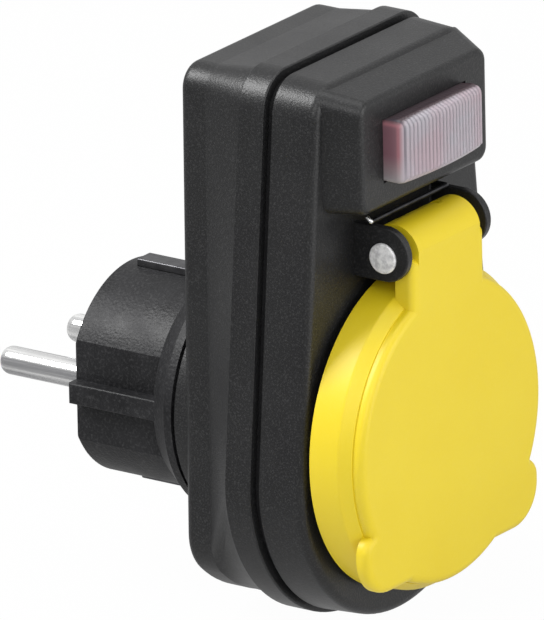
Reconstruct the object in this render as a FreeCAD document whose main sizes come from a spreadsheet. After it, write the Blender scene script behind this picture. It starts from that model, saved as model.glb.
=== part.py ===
import FreeCAD, Part
import math
import os
import Sketcher

# Switched socket adapter, in millimetres.
# Frame: the origin is the middle of the plug's face, between its two pins. X runs to the right, Y runs
# from the front towards the wall socket, and Z is up. "Depth" is measured from the plug's face towards
# the front of the adapter, so a depth of 10 lies at Y = -10.

doc = FreeCAD.newDocument("switched_socket_adapter")

sizes = {
    # shared
    "wall": 2.2,
    "overshoot": 1.0,
    "bite": 0.5,
    "running_clearance": 0.06,
    "seat_gap": 0.3,
    # plug
    "pin_spacing": 19.0,
    "pin_diameter": 4.8,
    "pin_root_diameter": 5.2,
    "pin_length": 19.0,
    "pin_shank": 12.3,
    "pin_head_radius": 3.3,
    "pin_head_depth": 1.2,
    "pin_chamfer": 1.6,
    "pin_head_room": 0.8,
    "pin_boss_step": 0.7,
    "plug_straight": 17.0,
    "plug_cone": 4.0,
    "plug_flange_step": 2.8,
    "plug_flange_depth": 1.5,
    "plug_flat_inset": 2.2,
    "plug_flat_height": 17.4,
    "plug_key_step": 0.2,
    "plug_key_width": 3.6,
    "plug_face_wall": 3.0,
    "plug_edge": 0.4,
    "plug_key_edge": 0.3,
    "plug_spigot_wall": 1.4,
    "plug_spigot_length": 4.6,
    "plug_shoulder": 3.0,
    "earth_strip_width": 3.7,
    "earth_strip_thickness": 1.2,
    "earth_strip_sunk": 0.2,
    "earth_strip_start": 2.7,
    "earth_leg_inset": 1.5,
    "earth_leg_reach": 1.8,
    "earth_leg_thickness": 1.2,
    "seal_inset": 0.8,
    "seal_thickness": 0.8,
    # housing
    "rear_boss_step": 0.2,
    "rear_boss_depth": 2.2,
    "tub_straight": 5.2,
    "flare_depth": 8.3,
    "band_depth": 5.1,
    "band_proud": 0.8,
    "groove_width": 1.3,
    "groove_inset": 1.0,
    "front_depth": 8.3,
    "front_draft": 0.5,
    "case_drop": 4.8,
    "flange_room": 1.7,
    "case_side_inset": 0.1,
    "case_side_radius": 22.0,
    "case_shoulder": 1.6,
    "case_head": 0.9,
    "case_corner": 6.0,
    "tub_bottom_inset": 0.7,
    "tub_side_inset": 6.2,
    "tub_side_radius": 9.0,
    "tub_top_inset": 1.9,
    "tub_head_inset": 1.0,
    "tub_corner": 4.2,
    "back_edge": 1.5,
    "band_edge": 0.3,
    "face_edge": 1.5,
    # switch block on the front
    "block_depth": 6.1,
    "block_margin": 6.1,
    "block_lean": 3.1,
    "block_lift": 8.5,
    "block_sill": 4.5,
    "block_lintel": 4.2,
    "block_top_lean": 1.9,
    "block_corner": 2.5,
    "block_wall": 2.0,
    "block_edge": 1.2,
    # hinge
    "hinge_offset": 4.7,
    "hinge_rise": 5.85,
    "ear_inner": 10.6,
    "ear_thickness": 1.45,
    "ear_radius": 4.7,
    "ear_lift": 0.6,
    "ear_reach": 0.2,
    "ear_edge": 0.3,
    "hinge_pin_radius": 1.5,
    "hinge_head_radius": 2.6,
    "hinge_head_depth": 0.6,
    "hinge_tail_radius": 2.2,
    # lid
    "lid_gap": 1.4,
    "lid_room": 2.4,
    "lid_wall": 1.8,
    "lid_skirt": 5.2,
    "lid_skirt_lean": 0.5,
    "lid_slope": 2.0,
    "lid_slope_lean": 1.3,
    "lid_plate": 1.7,
    "lid_panel_inset": 0.2,
    "lid_panel_height": 2.05,
    "lobe_inset": 0.9,
    "lobe_drop": 3.1,
    "lobe_top": 11.8,
    "lobe_corner": 7.0,
    "lobe_shoulder": 3.0,
    "lobe_depth": 2.3,
    "lid_edge": 1.4,
    "lid_crease_edge": 0.8,
    "neck_clearance": 0.3,
    "neck_step": 0.3,
    "knuckle_inset": 1.5,
    "knuckle_clearance": 0.95,
    "spring_room_wall": 2.8,
    "spring_room_radius": 3.5,
    "lid_seal_inset": 0.2,
    "lid_seal_width": 2.4,
    "lid_seal_gap": 0.3,
    # lid spring
    "spring_radius": 2.35,
    "spring_wire": 0.8,
    "spring_end_gap": 0.6,
    "wire_clearance": 0.1,
    "run_rise": 3.3,
    "run_lift": 5.8,
    "run_overhang": 0.35,
    "run_hook": 1.0,
    # socket under the lid
    "collar_rise": 5.3,
    "collar_clearance": 0.15,
    "recess_clearance": 1.75,
    "recess_wall": 3.85,
    "insert_flange_step": 1.1,
    "insert_flange_depth": 2.0,
    "insert_cup_wall": 1.85,
    "recess_depth": 17.5,
    "recess_floor": 2.5,
    "pin_hole_radius": 2.75,
    "guide_depth": 3.25,
    "guide_height": 16.2,
    "guide_slot": 4.6,
    "clip_width": 5.0,
    "clip_thickness": 0.8,
    "clip_inset": 1.55,
    "clip_length": 14.0,
    "clip_slot_clearance": 0.2,
    # conductors
    "strap_thickness": 0.8,
    "strap_width": 2.8,
    "strap_clearance": 1.9,
    "sleeve_wall": 0.95,
    "sleeve_inner": 2.45,
    "sleeve_length": 12.0,
    "sleeve_lug": 1.1,
    "sleeve_gap": 0.2,
    "earth_strap_gap": 0.8,
    "lead_in_clearance": 2.3,
    "lead_out_clearance": 3.2,
    # switch cap and its frame
    "boot_margin": 0.8,
    "boot_height": 10.7,
    "boot_rise": 4.8,
    "boot_dome": 1.1,
    "boot_wall": 0.9,
    "boot_edge": 1.2,
    "boot_flange": 1.3,
    "boot_flange_depth": 0.9,
    "boot_fit": 0.1,
    "rib_count": 23.0,
    "rib_pitch": 0.95,
    "rib_radius": 0.32,
    "frame_depth": 0.8,
    # rocker and switch
    "rocker_half": 9.3,
    "rocker_end_gap": 0.7,
    "rocker_side_gap": 0.6,
    "rocker_thickness": 2.1,
    "rocker_lift": 6.9,
    "rocker_pivot_inset": 1.9,
    "rocker_pivot_radius": 1.1,
    "rocker_boss_half": 2.4,
    "rocker_tilt": 12.0,
    "housing_wall": 1.0,
    "housing_floor": 1.2,
    "housing_clearance": 3.2,
    "plunger_radius": 0.9,
    "plunger_spring_radius": 1.35,
    "blade_half": 7.6,
    "blade_height": 5.0,
    "blade_thickness": 0.7,
    "blade_pivot_drop": 8.6,
    "blade_pivot_radius": 0.5,
    "blade_tilt": 9.0,
    "blade_gap": 0.3,
    "terminal_half": 0.8,
    "rivet_height": 0.4,
    "fixed_contact_x": 6.6,
    "fixed_contact_radius": 1.4,
    "lamp_x": 6.3,
    "lamp_radius": 1.5,
    "lamp_gap": 0.7,
    "resistor_rise": 3.8,
    "resistor_radius": 1.0,
    "resistor_length": 6.0,
    "lead_radius": 0.3,
    # screws
    "upper_screw_gap": 1.6,
    "upper_screw_z": 37.0,
    "lower_screw_x": 15.0,
    "lower_screw_gap": 0.8,
    "screw_boss_radius": 3.0,
    "screw_radius": 1.4,
    "screw_hole_radius": 1.6,
    "screw_head_radius": 2.4,
    "screw_head_depth": 1.6,
    "screw_head_room": 2.6,
    "screw_bite": 4.2,
    "screw_slot": 0.7,
    "front_boss_length": 5.0,
}

sheet = doc.addObject("Spreadsheet::Sheet", "Sizes")
for row, (alias, amount) in enumerate(sizes.items(), start=1):
    sheet.set("A%d" % row, alias)
    sheet.set("B%d" % row, str(amount))
    sheet.setAlias("B%d" % row, alias)
doc.recompute()


def sine(angle):
    return Length(math.sin(math.radians(angle.value)), "sin(%s)" % angle.text)


def root(amount):
    return Length(math.sqrt(amount.value), "sqrt(%s)" % amount.text)


def number(amount):
    return amount.value if isinstance(amount, Length) else float(amount)


def wording(amount):
    return amount.text if isinstance(amount, Length) else "%.6f" % amount


class Length:
    # a number together with the sheet expression that gives it

    def __init__(self, value, text):
        self.value = value
        self.text = text

    def __add__(self, other):
        return Length(self.value + number(other), "(%s + %s)" % (self.text, wording(other)))

    def __sub__(self, other):
        return Length(self.value - number(other), "(%s - %s)" % (self.text, wording(other)))

    def __mul__(self, other):
        return Length(self.value * number(other), "(%s * %s)" % (self.text, wording(other)))

    def __truediv__(self, other):
        return Length(self.value / number(other), "(%s / %s)" % (self.text, wording(other)))

    def __rsub__(self, other):
        return Length(number(other) - self.value, "(%s - %s)" % (wording(other), self.text))

    def __neg__(self):
        return Length(-self.value, "(0 - %s)" % self.text)

    __radd__ = __add__
    __rmul__ = __mul__


class Sizes:
    # every alias of the sheet as an attribute
    pass


s = Sizes()
for alias in sizes:
    setattr(s, alias, Length(float(sheet.get(alias)), "Sizes." + alias))
nothing = Length(0.0, "0")


# Building blocks, each bound to the sheet

def bind(thing, amounts):
    for prop, amount in amounts.items():
        thing.setExpression(prop, wording(amount))


def box(name, x, depth, z):
    thing = doc.addObject("Part::Box", name)
    bind(thing, {"Length": x[1] - x[0], "Width": depth[1] - depth[0], "Height": z[1] - z[0],
                 "Placement.Base.x": x[0], "Placement.Base.y": -depth[1], "Placement.Base.z": z[0]})
    return thing


def turned(thing, axis, angle):
    thing.Placement = FreeCAD.Placement(FreeCAD.Vector(), FreeCAD.Rotation(axis, angle))


def rod(name, radius, depth, x=0.0, z=0.0):
    # a cylinder along the depth
    thing = doc.addObject("Part::Cylinder", name)
    turned(thing, FreeCAD.Vector(1, 0, 0), 90)
    bind(thing, {"Radius": radius, "Height": depth[1] - depth[0],
                 "Placement.Base.x": x, "Placement.Base.y": -depth[0], "Placement.Base.z": z})
    return thing


def taper(name, radii, depth, x=0.0, z=0.0):
    # a cone along the depth
    thing = doc.addObject("Part::Cone", name)
    turned(thing, FreeCAD.Vector(1, 0, 0), 90)
    bind(thing, {"Radius1": radii[0], "Radius2": radii[1], "Height": depth[1] - depth[0],
                 "Placement.Base.x": x, "Placement.Base.y": -depth[0], "Placement.Base.z": z})
    return thing


def axle(name, radius, x, depth, z):
    # a cylinder along X
    thing = doc.addObject("Part::Cylinder", name)
    turned(thing, FreeCAD.Vector(0, 1, 0), 90)
    bind(thing, {"Radius": radius, "Height": x[1] - x[0],
                 "Placement.Base.x": x[0], "Placement.Base.y": -depth, "Placement.Base.z": z})
    return thing


def post(name, radius, x, depth, z):
    # a cylinder along Z
    thing = doc.addObject("Part::Cylinder", name)
    bind(thing, {"Radius": radius, "Height": z[1] - z[0],
                 "Placement.Base.x": x, "Placement.Base.y": -depth, "Placement.Base.z": z[0]})
    return thing


def join(name, *things):
    joined = doc.addObject("Part::MultiFuse", name)
    joined.Shapes = list(things)
    joined.Refine = True
    return joined


def cut(name, base, *tools):
    result = doc.addObject("Part::Cut", name)
    result.Base = base
    result.Tool = tools[0] if len(tools) == 1 else join(name + "_tools", *tools)
    result.Refine = True
    return result


def group(name, *things):
    # separate solids of one node
    gathered = doc.addObject("Part::Compound", name)
    gathered.Links = list(things)
    return gathered


def rounded(name, base, radius, chosen):
    doc.recompute()
    edges = [(index, number(radius), number(radius))
             for index, edge in enumerate(base.Shape.Edges, start=1) if chosen(edge)]
    result = doc.addObject("Part::Fillet", name)
    result.Base = base
    result.Edges = edges
    return result


# how far an edge may lie from the plane that chooses it
tolerance = 0.01


def inPlane(axis, *places):
    # chooses the edges that lie in one of the planes across an axis
    def chosen(edge):
        extent = edge.BoundBox
        low, high = getattr(extent, axis + "Min"), getattr(extent, axis + "Max")
        return any(abs(low - place) < tolerance and abs(high - place) < tolerance for place in places)
    return chosen


def atDepth(*depths):
    return inPlane("Y", *(-number(depth) for depth in depths))


nodes = {}


def node(label, thing):
    thing.Label = label
    nodes[label] = thing
    return thing


def originPlane(body, role):
    for feature in body.Origin.OriginFeatures:
        if feature.Role == role:
            return feature


def drawing(body, name, depth):
    # a sketch that faces the front, at a depth
    sketch = body.newObject("Sketcher::SketchObject", name)
    sketch.AttachmentSupport = [(originPlane(body, "XZ_Plane"), "")]
    sketch.MapMode = "FlatFace"
    bind(sketch, {"AttachmentOffset.Base.z": depth})
    return sketch


def constrain(sketch, kind, *arguments):
    # a dimension whose last argument is bound to the sheet
    amount = arguments[-1]
    index = sketch.addConstraint(Sketcher.Constraint(kind, *arguments[:-1], number(amount)))
    sketch.setExpression("Constraints[%d]" % index, wording(amount))


class Outline:
    # flat top with round corners, leaning sides, rounded lower corners and an arc at the bottom

    def __init__(self, bottomRadius, side, sideRadius, topHalf, top, corner):
        self.bottomRadius = bottomRadius
        self.side = side
        self.sideRadius = sideRadius
        self.topHalf = topHalf
        self.top = top
        self.corner = corner

    def inset(self, amount):
        return Outline(self.bottomRadius - amount, self.side - amount, self.sideRadius - amount,
                       self.topHalf - amount, self.top - amount, self.corner - amount)


def vector(x, y):
    return FreeCAD.Vector(x, y, 0)


def arc(centre, radius, start, end):
    circle = Part.Circle(centre, FreeCAD.Vector(0, 0, 1), radius)
    return Part.ArcOfCircle(circle, start, end)


def drawOutline(sketch, form):
    bottom = number(form.bottomRadius)
    low = number(form.sideRadius)
    corner = number(form.corner)
    lowX = number(form.side) - low
    cornerX = number(form.topHalf) - corner
    centreZ = -number(s.case_drop)
    lowZ = centreZ - math.sqrt((bottom - low) ** 2 - lowX ** 2)
    cornerZ = number(form.top) - corner
    run = FreeCAD.Vector(cornerX - lowX, cornerZ - lowZ, 0)
    along = FreeCAD.Vector(run).normalize()
    lean = (low - corner) / run.Length
    normal = along * lean + vector(along.y, -along.x) * math.sqrt(1 - lean ** 2)
    sideAngle = math.atan2(normal.y, normal.x)
    lowAngle = math.atan2(lowZ - centreZ, lowX)
    mirror = vector(-normal.x, normal.y)
    half = math.pi / 2
    geometry = [
        arc(vector(0, centreZ), bottom, math.pi - lowAngle, 2 * math.pi + lowAngle),
        arc(vector(lowX, lowZ), low, lowAngle, sideAngle),
        Part.LineSegment(vector(lowX, lowZ) + normal * low, vector(cornerX, cornerZ) + normal * corner),
        arc(vector(cornerX, cornerZ), corner, sideAngle, half),
        Part.LineSegment(vector(cornerX, cornerZ + corner), vector(-cornerX, cornerZ + corner)),
        arc(vector(-cornerX, cornerZ), corner, half, math.pi - sideAngle),
        Part.LineSegment(vector(-cornerX, cornerZ) + mirror * corner, vector(-lowX, lowZ) + mirror * low),
        arc(vector(-lowX, lowZ), low, math.pi - sideAngle, math.pi - lowAngle),
    ]
    sketch.addGeometry(geometry, False)
    for index in range(len(geometry)):
        following = (index + 1) % len(geometry)
        sketch.addConstraint(Sketcher.Constraint("Tangent", index, 2, following, 1))
    sketch.addConstraint(Sketcher.Constraint("Horizontal", 4))
    sketch.addConstraint(Sketcher.Constraint("PointOnObject", 0, 3, -2))
    constrain(sketch, "DistanceY", 0, 3, -1, 1, s.case_drop)
    constrain(sketch, "Radius", 0, form.bottomRadius)
    for index in (1, 7):
        constrain(sketch, "Radius", index, form.sideRadius)
    for index in (3, 5):
        constrain(sketch, "Radius", index, form.corner)
    constrain(sketch, "DistanceX", -1, 1, 1, 3, form.side - form.sideRadius)
    constrain(sketch, "DistanceX", 7, 3, -1, 1, form.side - form.sideRadius)
    constrain(sketch, "DistanceX", -1, 1, 3, 3, form.topHalf - form.corner)
    constrain(sketch, "DistanceX", 5, 3, -1, 1, form.topHalf - form.corner)
    constrain(sketch, "DistanceY", -1, 1, 4, 1, form.top)


def drawPlate(sketch, half, bottom, top, corner):
    # a rectangle about the Z axis with four round corners
    x = number(half)
    low = number(bottom)
    high = number(top)
    r = number(corner)
    quarter = math.pi / 2
    geometry = [
        Part.LineSegment(vector(-x + r, low), vector(x - r, low)),
        arc(vector(x - r, low + r), r, 3 * quarter, 4 * quarter),
        Part.LineSegment(vector(x, low + r), vector(x, high - r)),
        arc(vector(x - r, high - r), r, 0, quarter),
        Part.LineSegment(vector(x - r, high), vector(-x + r, high)),
        arc(vector(-x + r, high - r), r, quarter, 2 * quarter),
        Part.LineSegment(vector(-x, high - r), vector(-x, low + r)),
        arc(vector(-x + r, low + r), r, 2 * quarter, 3 * quarter),
    ]
    sketch.addGeometry(geometry, False)
    for index in range(len(geometry)):
        following = (index + 1) % len(geometry)
        sketch.addConstraint(Sketcher.Constraint("Tangent", index, 2, following, 1))
    for index in (0, 4):
        sketch.addConstraint(Sketcher.Constraint("Horizontal", index))
    for index in (2, 6):
        sketch.addConstraint(Sketcher.Constraint("Vertical", index))
    for index in (3, 5, 7):
        sketch.addConstraint(Sketcher.Constraint("Equal", 1, index))
    constrain(sketch, "Radius", 1, corner)
    constrain(sketch, "DistanceX", -1, 1, 2, 1, half)
    constrain(sketch, "DistanceX", 6, 1, -1, 1, half)
    constrain(sketch, "DistanceY", -1, 1, 0, 1, bottom)
    constrain(sketch, "DistanceY", -1, 1, 4, 1, top)


def pad(body, name, sketch, length):
    feature = body.newObject("PartDesign::Pad", name)
    feature.Profile = sketch
    bind(feature, {"Length": length})
    sketch.Visibility = False
    return feature


def loft(body, name, first, second):
    feature = body.newObject("PartDesign::AdditiveLoft", name)
    feature.Profile = first
    feature.Sections = [second]
    feature.Ruled = True
    return feature


def newBody(name):
    return doc.addObject("PartDesign::Body", name)


# Depths that many pieces share
flange_start = s.plug_straight + s.plug_cone
flange_end = flange_start + s.plug_flange_depth
boss_start = flange_end + s.seal_thickness
back_face = boss_start + s.rear_boss_depth
flare_start = back_face + s.tub_straight
band_start = flare_start + s.flare_depth
band_end = band_start + s.band_depth
groove_end = band_end + s.groove_width
front_face = groove_end + s.front_depth
face_inside = front_face - s.wall
block_front = front_face + s.block_depth
block_inside = block_front - s.block_wall
collar_front = front_face + s.collar_rise
floor_front = collar_front - s.recess_depth
floor_back = floor_front - s.recess_floor
lid_back = front_face + s.lid_gap
lid_crease = lid_back + s.lid_skirt
lid_plate_front = lid_crease + s.lid_slope
lid_inside = lid_plate_front - s.lid_plate
panel_front = lid_plate_front + s.lid_panel_height
hinge_depth = front_face + s.hinge_rise
earth_leg_depth = flange_start - s.earth_leg_inset
lead_in_depth = back_face + s.wall + s.lead_in_clearance
lead_out_depth = lead_in_depth + s.strap_thickness + s.lead_out_clearance
housing_back = lead_out_depth + s.strap_thickness + s.housing_clearance
housing_front = block_inside - s.boot_flange_depth - s.frame_depth
rocker_pivot_depth = housing_front - s.rocker_pivot_inset
blade_pivot_depth = rocker_pivot_depth - s.blade_pivot_drop
resistor_depth = blade_pivot_depth + s.resistor_rise
lamp_depth = resistor_depth + s.resistor_radius + s.lamp_gap + s.lamp_radius

# Radii and widths, from the pins outwards
pin_x = s.pin_spacing / 2
plug_bore_radius = pin_x + s.pin_head_radius + s.pin_head_room
plug_spigot_radius = plug_bore_radius + s.plug_spigot_wall
plug_radius = plug_spigot_radius + s.plug_shoulder
plug_flange_radius = plug_radius + s.plug_flange_step
earth_leg_inner = plug_bore_radius - s.earth_leg_reach
recess_radius = plug_radius + s.recess_clearance
insert_cup_radius = recess_radius + s.insert_cup_wall
collar_radius = recess_radius + s.recess_wall
insert_flange_radius = collar_radius + s.insert_flange_step
guide_reach = recess_radius - s.guide_depth
clip_height = recess_radius - s.clip_inset
lid_rim_radius = collar_radius + s.lid_room + s.lid_wall
lid_crease_radius = lid_rim_radius - s.lid_skirt_lean
lid_slope_radius = lid_crease_radius - s.lid_slope_lean
lid_panel_radius = lid_slope_radius - s.lid_panel_inset
lobe_reach = lid_panel_radius - s.lobe_inset
lobe_bottom = lid_panel_radius - s.lobe_drop
ear_outer = s.ear_inner + s.ear_thickness
neck_half = s.ear_inner - s.neck_clearance
knuckle_half = neck_half - s.knuckle_inset
knuckle_radius = s.hinge_rise - s.knuckle_clearance
spring_room_half = knuckle_half - s.spring_room_wall
spring_half = spring_room_half - s.spring_end_gap
sleeve_outer = s.sleeve_inner + s.sleeve_wall
sleeve_lug_height = sleeve_outer + s.sleeve_lug
strap_rise = sleeve_lug_height + s.strap_clearance
housing_half = s.rocker_half + s.rocker_end_gap + s.housing_wall
boot_half = housing_half + s.boot_margin
block_half = boot_half + s.block_margin
block_root_half = block_half + s.block_lean

# Heights, from the lid upwards
hinge_height = lid_rim_radius + s.hinge_offset
block_bottom = hinge_height + s.block_lift
boot_bottom = block_bottom + s.block_sill
boot_top = boot_bottom + s.boot_height
boot_middle = (boot_bottom + boot_top) / 2
block_top = boot_top + s.block_lintel
block_root_top = block_top + s.block_top_lean
case_top = block_root_top + s.case_head
rocker_height = s.boot_height - (s.boot_wall + s.rocker_side_gap) * 2
blade_low = boot_middle - s.blade_height / 2
blade_high = boot_middle + s.blade_height / 2

case_bottom_radius = insert_flange_radius + s.flange_room + s.wall
case_top_half = block_root_half + s.case_shoulder
case = Outline(case_bottom_radius, case_bottom_radius - s.case_side_inset, s.case_side_radius,
               case_top_half, case_top, s.case_corner)
tub_bottom_radius = case_bottom_radius - s.tub_bottom_inset
tub = Outline(tub_bottom_radius, tub_bottom_radius - s.tub_side_inset, s.tub_side_radius,
              case_top_half - s.tub_top_inset, case_top - s.tub_head_inset, s.tub_corner)
sides = (("left", -1), ("right", 1))


# Pins

def pin(name, x):
    blade = rod(name + "_blade", s.pin_diameter / 2, (-s.pin_length + s.pin_chamfer, nothing), x)
    root = rod(name + "_root", s.pin_root_diameter / 2, (nothing, s.pin_shank), x)
    tip = taper(name + "_tip", (s.pin_diameter / 2 - s.pin_chamfer / 2, s.pin_diameter / 2),
                (-s.pin_length, -s.pin_length + s.pin_chamfer), x)
    head = rod(name + "_head", s.pin_head_radius, (s.pin_shank, s.pin_shank + s.pin_head_depth), x)
    return join(name, blade, root, tip, head)


node("line_pin", pin("pin_left", -pin_x))
node("neutral_pin", pin("pin_right", pin_x))


# Plug body

def plugBody():
    drum = rod("plug_drum", plug_radius, (nothing, s.plug_straight))
    cone = taper("plug_cone_solid", (plug_radius, plug_flange_radius), (s.plug_straight, flange_start))
    flange = rod("plug_flange", plug_flange_radius, (flange_start, flange_end))
    spigot = rod("plug_spigot", plug_spigot_radius, (flange_end, flange_end + s.plug_spigot_length))
    blank = rounded("plug_eased", join("plug_blank", drum, cone, flange, spigot), s.plug_edge,
                    atDepth(nothing))
    flats = []
    keys = []
    flat_reach = plug_radius - s.plug_flat_inset
    key_reach = plug_radius + s.plug_key_step
    for word, sign in sides:
        far = plug_radius + s.overshoot
        reach = (flat_reach, far) if sign > 0 else (-far, -flat_reach)
        flats.append(box("plug_flat_" + word, reach, (-s.wall, s.plug_straight),
                         (-s.plug_flat_height / 2, s.plug_flat_height / 2)))
        inner = flat_reach - s.overshoot
        reach = (inner, key_reach) if sign > 0 else (-key_reach, -inner)
        key = box("plug_key_" + word, reach, (nothing, s.plug_straight + s.wall),
                  (-s.plug_key_width / 2, s.plug_key_width / 2))
        keys.append(rounded("plug_key_eased_" + word, key, s.plug_key_edge,
                            inPlane("X", sign * number(key_reach))))
    faced = cut("plug_faced", blank, *flats)
    bore = rod("plug_bore", plug_bore_radius,
               (s.plug_face_wall, flange_end + s.plug_spigot_length + s.overshoot))
    hollow = cut("plug_hollow", faced, bore)
    bossRadius = s.pin_head_radius + s.pin_boss_step
    bosses = [rod("pin_boss_" + word, bossRadius, (s.plug_face_wall - s.bite, s.pin_shank), sign * pin_x)
              for word, sign in sides]
    filled = join("plug_filled", hollow, *keys, *bosses)
    passage = (-s.wall, s.pin_shank + s.overshoot)
    holes = [rod("pin_passage_" + word, s.pin_root_diameter / 2, passage, sign * pin_x)
             for word, sign in sides]
    slots = []
    half = s.earth_strip_width / 2
    leg = (earth_leg_depth, earth_leg_depth + s.earth_leg_thickness)
    strip = (s.earth_strip_start, leg[1])
    outer = plug_radius + s.earth_strip_thickness
    for word, sign in (("top", 1), ("bottom", -1)):
        reach = (earth_leg_inner, outer) if sign > 0 else (-outer, -earth_leg_inner)
        slots.append(box("earth_slot_" + word, (-half, half), leg, reach))
        inner = plug_radius - s.earth_strip_sunk
        reach = (inner, outer) if sign > 0 else (-outer, -inner)
        slots.append(box("earth_seat_" + word, (-half, half), strip, reach))
    return cut("plug", filled, *holes, *slots)


node("plug_body", plugBody())


def earthContact(word, sign):
    half = s.earth_strip_width / 2
    leg = (earth_leg_depth, earth_leg_depth + s.earth_leg_thickness)
    inner = plug_radius - s.earth_strip_sunk
    outer = plug_radius + s.earth_strip_thickness
    reach = (inner, outer) if sign > 0 else (-outer, -inner)
    strip = box("earth_strip_" + word, (-half, half), (s.earth_strip_start, leg[1]), reach)
    reach = (earth_leg_inner, outer) if sign > 0 else (-outer, -earth_leg_inner)
    return join("earth_contact_" + word, strip, box("earth_leg_" + word, (-half, half), leg, reach))


node("plug_earth_contacts", group("earth_contacts", earthContact("top", 1), earthContact("bottom", -1)))

node("plug_seal", cut("plug_seal_ring",
                      rod("plug_seal_outer", plug_flange_radius - s.seal_inset, (flange_end, boss_start)),
                      rod("plug_seal_inner", plug_spigot_radius,
                          (flange_end - s.overshoot, boss_start + s.overshoot))))


# Screw places, as seen from the front
upper_screw_x = pin_x + s.strap_width / 2 + s.upper_screw_gap + s.screw_boss_radius
lower_screw_reach = insert_cup_radius + s.lower_screw_gap + s.screw_boss_radius
lower_screw_z = root(lower_screw_reach * lower_screw_reach - s.lower_screw_x * s.lower_screw_x)
screw_places = [(sign * upper_screw_x, s.upper_screw_z) for word, sign in sides]
screw_places += [(sign * s.lower_screw_x, -lower_screw_z) for word, sign in sides]
front_boss_end = face_inside - s.front_boss_length
screw_seat = back_face + s.screw_head_room


# Rear shell

def rearForm(name, inset, first):
    body = newBody(name)
    start = drawing(body, name + "_start", first)
    drawOutline(start, tub.inset(inset))
    bend = drawing(body, name + "_bend", flare_start)
    drawOutline(bend, tub.inset(inset))
    brim = drawing(body, name + "_brim", band_start)
    drawOutline(brim, case.inset(inset))
    band = drawing(body, name + "_band", band_start)
    drawOutline(band, case.inset(inset))
    doc.recompute()
    pad(body, name + "_tub", start, flare_start - first)
    loft(body, name + "_flare", bend, brim)
    pad(body, name + "_rim", band, s.band_depth)
    return body


def proudBand():
    body = newBody("rear_band")
    start = drawing(body, "rear_band_start", band_start)
    drawOutline(start, case.inset(nothing - s.band_proud))
    pad(body, "rear_band_pad", start, s.band_depth)
    return rounded("rear_band_eased", body, s.band_edge, atDepth(band_start, band_end))


def rearShell():
    soft = rounded("rear_soft", rearForm("rear_outer", nothing, back_face), s.back_edge, atDepth(back_face))
    room = rearForm("rear_room", s.wall, back_face + s.wall)
    boss = rod("rear_boss", plug_flange_radius + s.rear_boss_step, (boss_start, back_face + s.wall / 2))
    bore = rod("rear_bore", plug_spigot_radius, (boss_start - s.overshoot, back_face + s.wall + s.overshoot))
    shell = cut("rear_hollow", join("rear_bossed", soft, proudBand(), boss), room, bore)
    posts = []
    holes = []
    for index, (x, z) in enumerate(screw_places):
        posts.append(rod("rear_post_%d" % index, s.screw_boss_radius,
                         (back_face + s.wall / 2, front_boss_end), x, z))
        holes.append(rod("rear_hole_%d" % index, s.screw_hole_radius,
                         (back_face - s.overshoot, front_boss_end + s.overshoot), x, z))
        holes.append(rod("rear_sink_%d" % index, s.screw_head_radius + s.seat_gap,
                         (back_face - s.overshoot, screw_seat), x, z))
    return cut("rear", join("rear_posted", shell, *posts), *holes)


node("rear_shell", rearShell())

# The case screws, each with a slotted head sunk in the back
screws = []
for index, (x, z) in enumerate(screw_places):
    head = rod("screw_head_%d" % index, s.screw_head_radius,
               (screw_seat - s.screw_head_depth, screw_seat), x, z)
    shank = rod("screw_shank_%d" % index, s.screw_radius, (screw_seat, front_boss_end + s.screw_bite), x, z)
    slot = box("screw_slot_%d" % index, (x - s.screw_head_radius, x + s.screw_head_radius),
               (screw_seat - s.screw_head_depth - s.bite, screw_seat - s.screw_head_depth / 2),
               (z - s.screw_slot / 2, z + s.screw_slot / 2))
    screws.append(cut("screw_%d" % index, join("screw_blank_%d" % index, head, shank), slot))
node("case_screws", group("screws", *screws))


# Seal in the groove between the halves

def ring(name, depth, outer, inner):
    plate = newBody(name + "_plate")
    sketch = drawing(plate, name + "_plate_outline", depth[0])
    drawOutline(sketch, outer)
    pad(plate, name + "_plate_pad", sketch, depth[1] - depth[0])
    hole = newBody(name + "_hole")
    sketch = drawing(hole, name + "_hole_outline", depth[0])
    drawOutline(sketch, inner)
    pad(hole, name + "_hole_pad", sketch, depth[1] - depth[0])
    return cut(name, plate, hole)


node("shell_seal", ring("case_seal", (band_end, groove_end), case.inset(s.groove_inset), case.inset(s.wall)))


# Front shell with the switch block and the ears

def frontForm(name, inset, last):
    body = newBody(name)
    start = drawing(body, name + "_start", groove_end)
    drawOutline(start, case.inset(inset))
    end = drawing(body, name + "_end", last)
    drawOutline(end, case.inset(inset + s.front_draft))
    doc.recompute()
    loft(body, name + "_walls", start, end)
    return body


def blockForm(name, inset, depth, lift):
    # the block leans in from its root on the face to its front
    body = newBody(name)
    start = drawing(body, name + "_root", depth[0])
    drawPlate(start, block_root_half - inset, block_bottom + inset, block_root_top - lift, s.block_corner)
    end = drawing(body, name + "_front", depth[1])
    drawPlate(end, block_half - inset, block_bottom + inset, block_top - lift, s.block_corner)
    doc.recompute()
    loft(body, name + "_walls", start, end)
    return body


def ear(word, sign):
    reach = (s.ear_inner, ear_outer) if sign > 0 else (-ear_outer, -s.ear_inner)
    middle = hinge_height + s.ear_lift
    tip = hinge_depth + s.ear_reach
    web = box("ear_web_" + word, reach, (face_inside, tip), (middle - s.ear_radius, middle + s.ear_radius))
    nose = axle("ear_nose_" + word, s.ear_radius, reach, tip, middle)
    faces = inPlane("X", *(sign * number(side) for side in (s.ear_inner, ear_outer)))
    root = atDepth(face_inside)
    return rounded("ear_eased_" + word, join("ear_" + word, web, nose), s.ear_edge,
                   lambda edge: faces(edge) and not root(edge))


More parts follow.
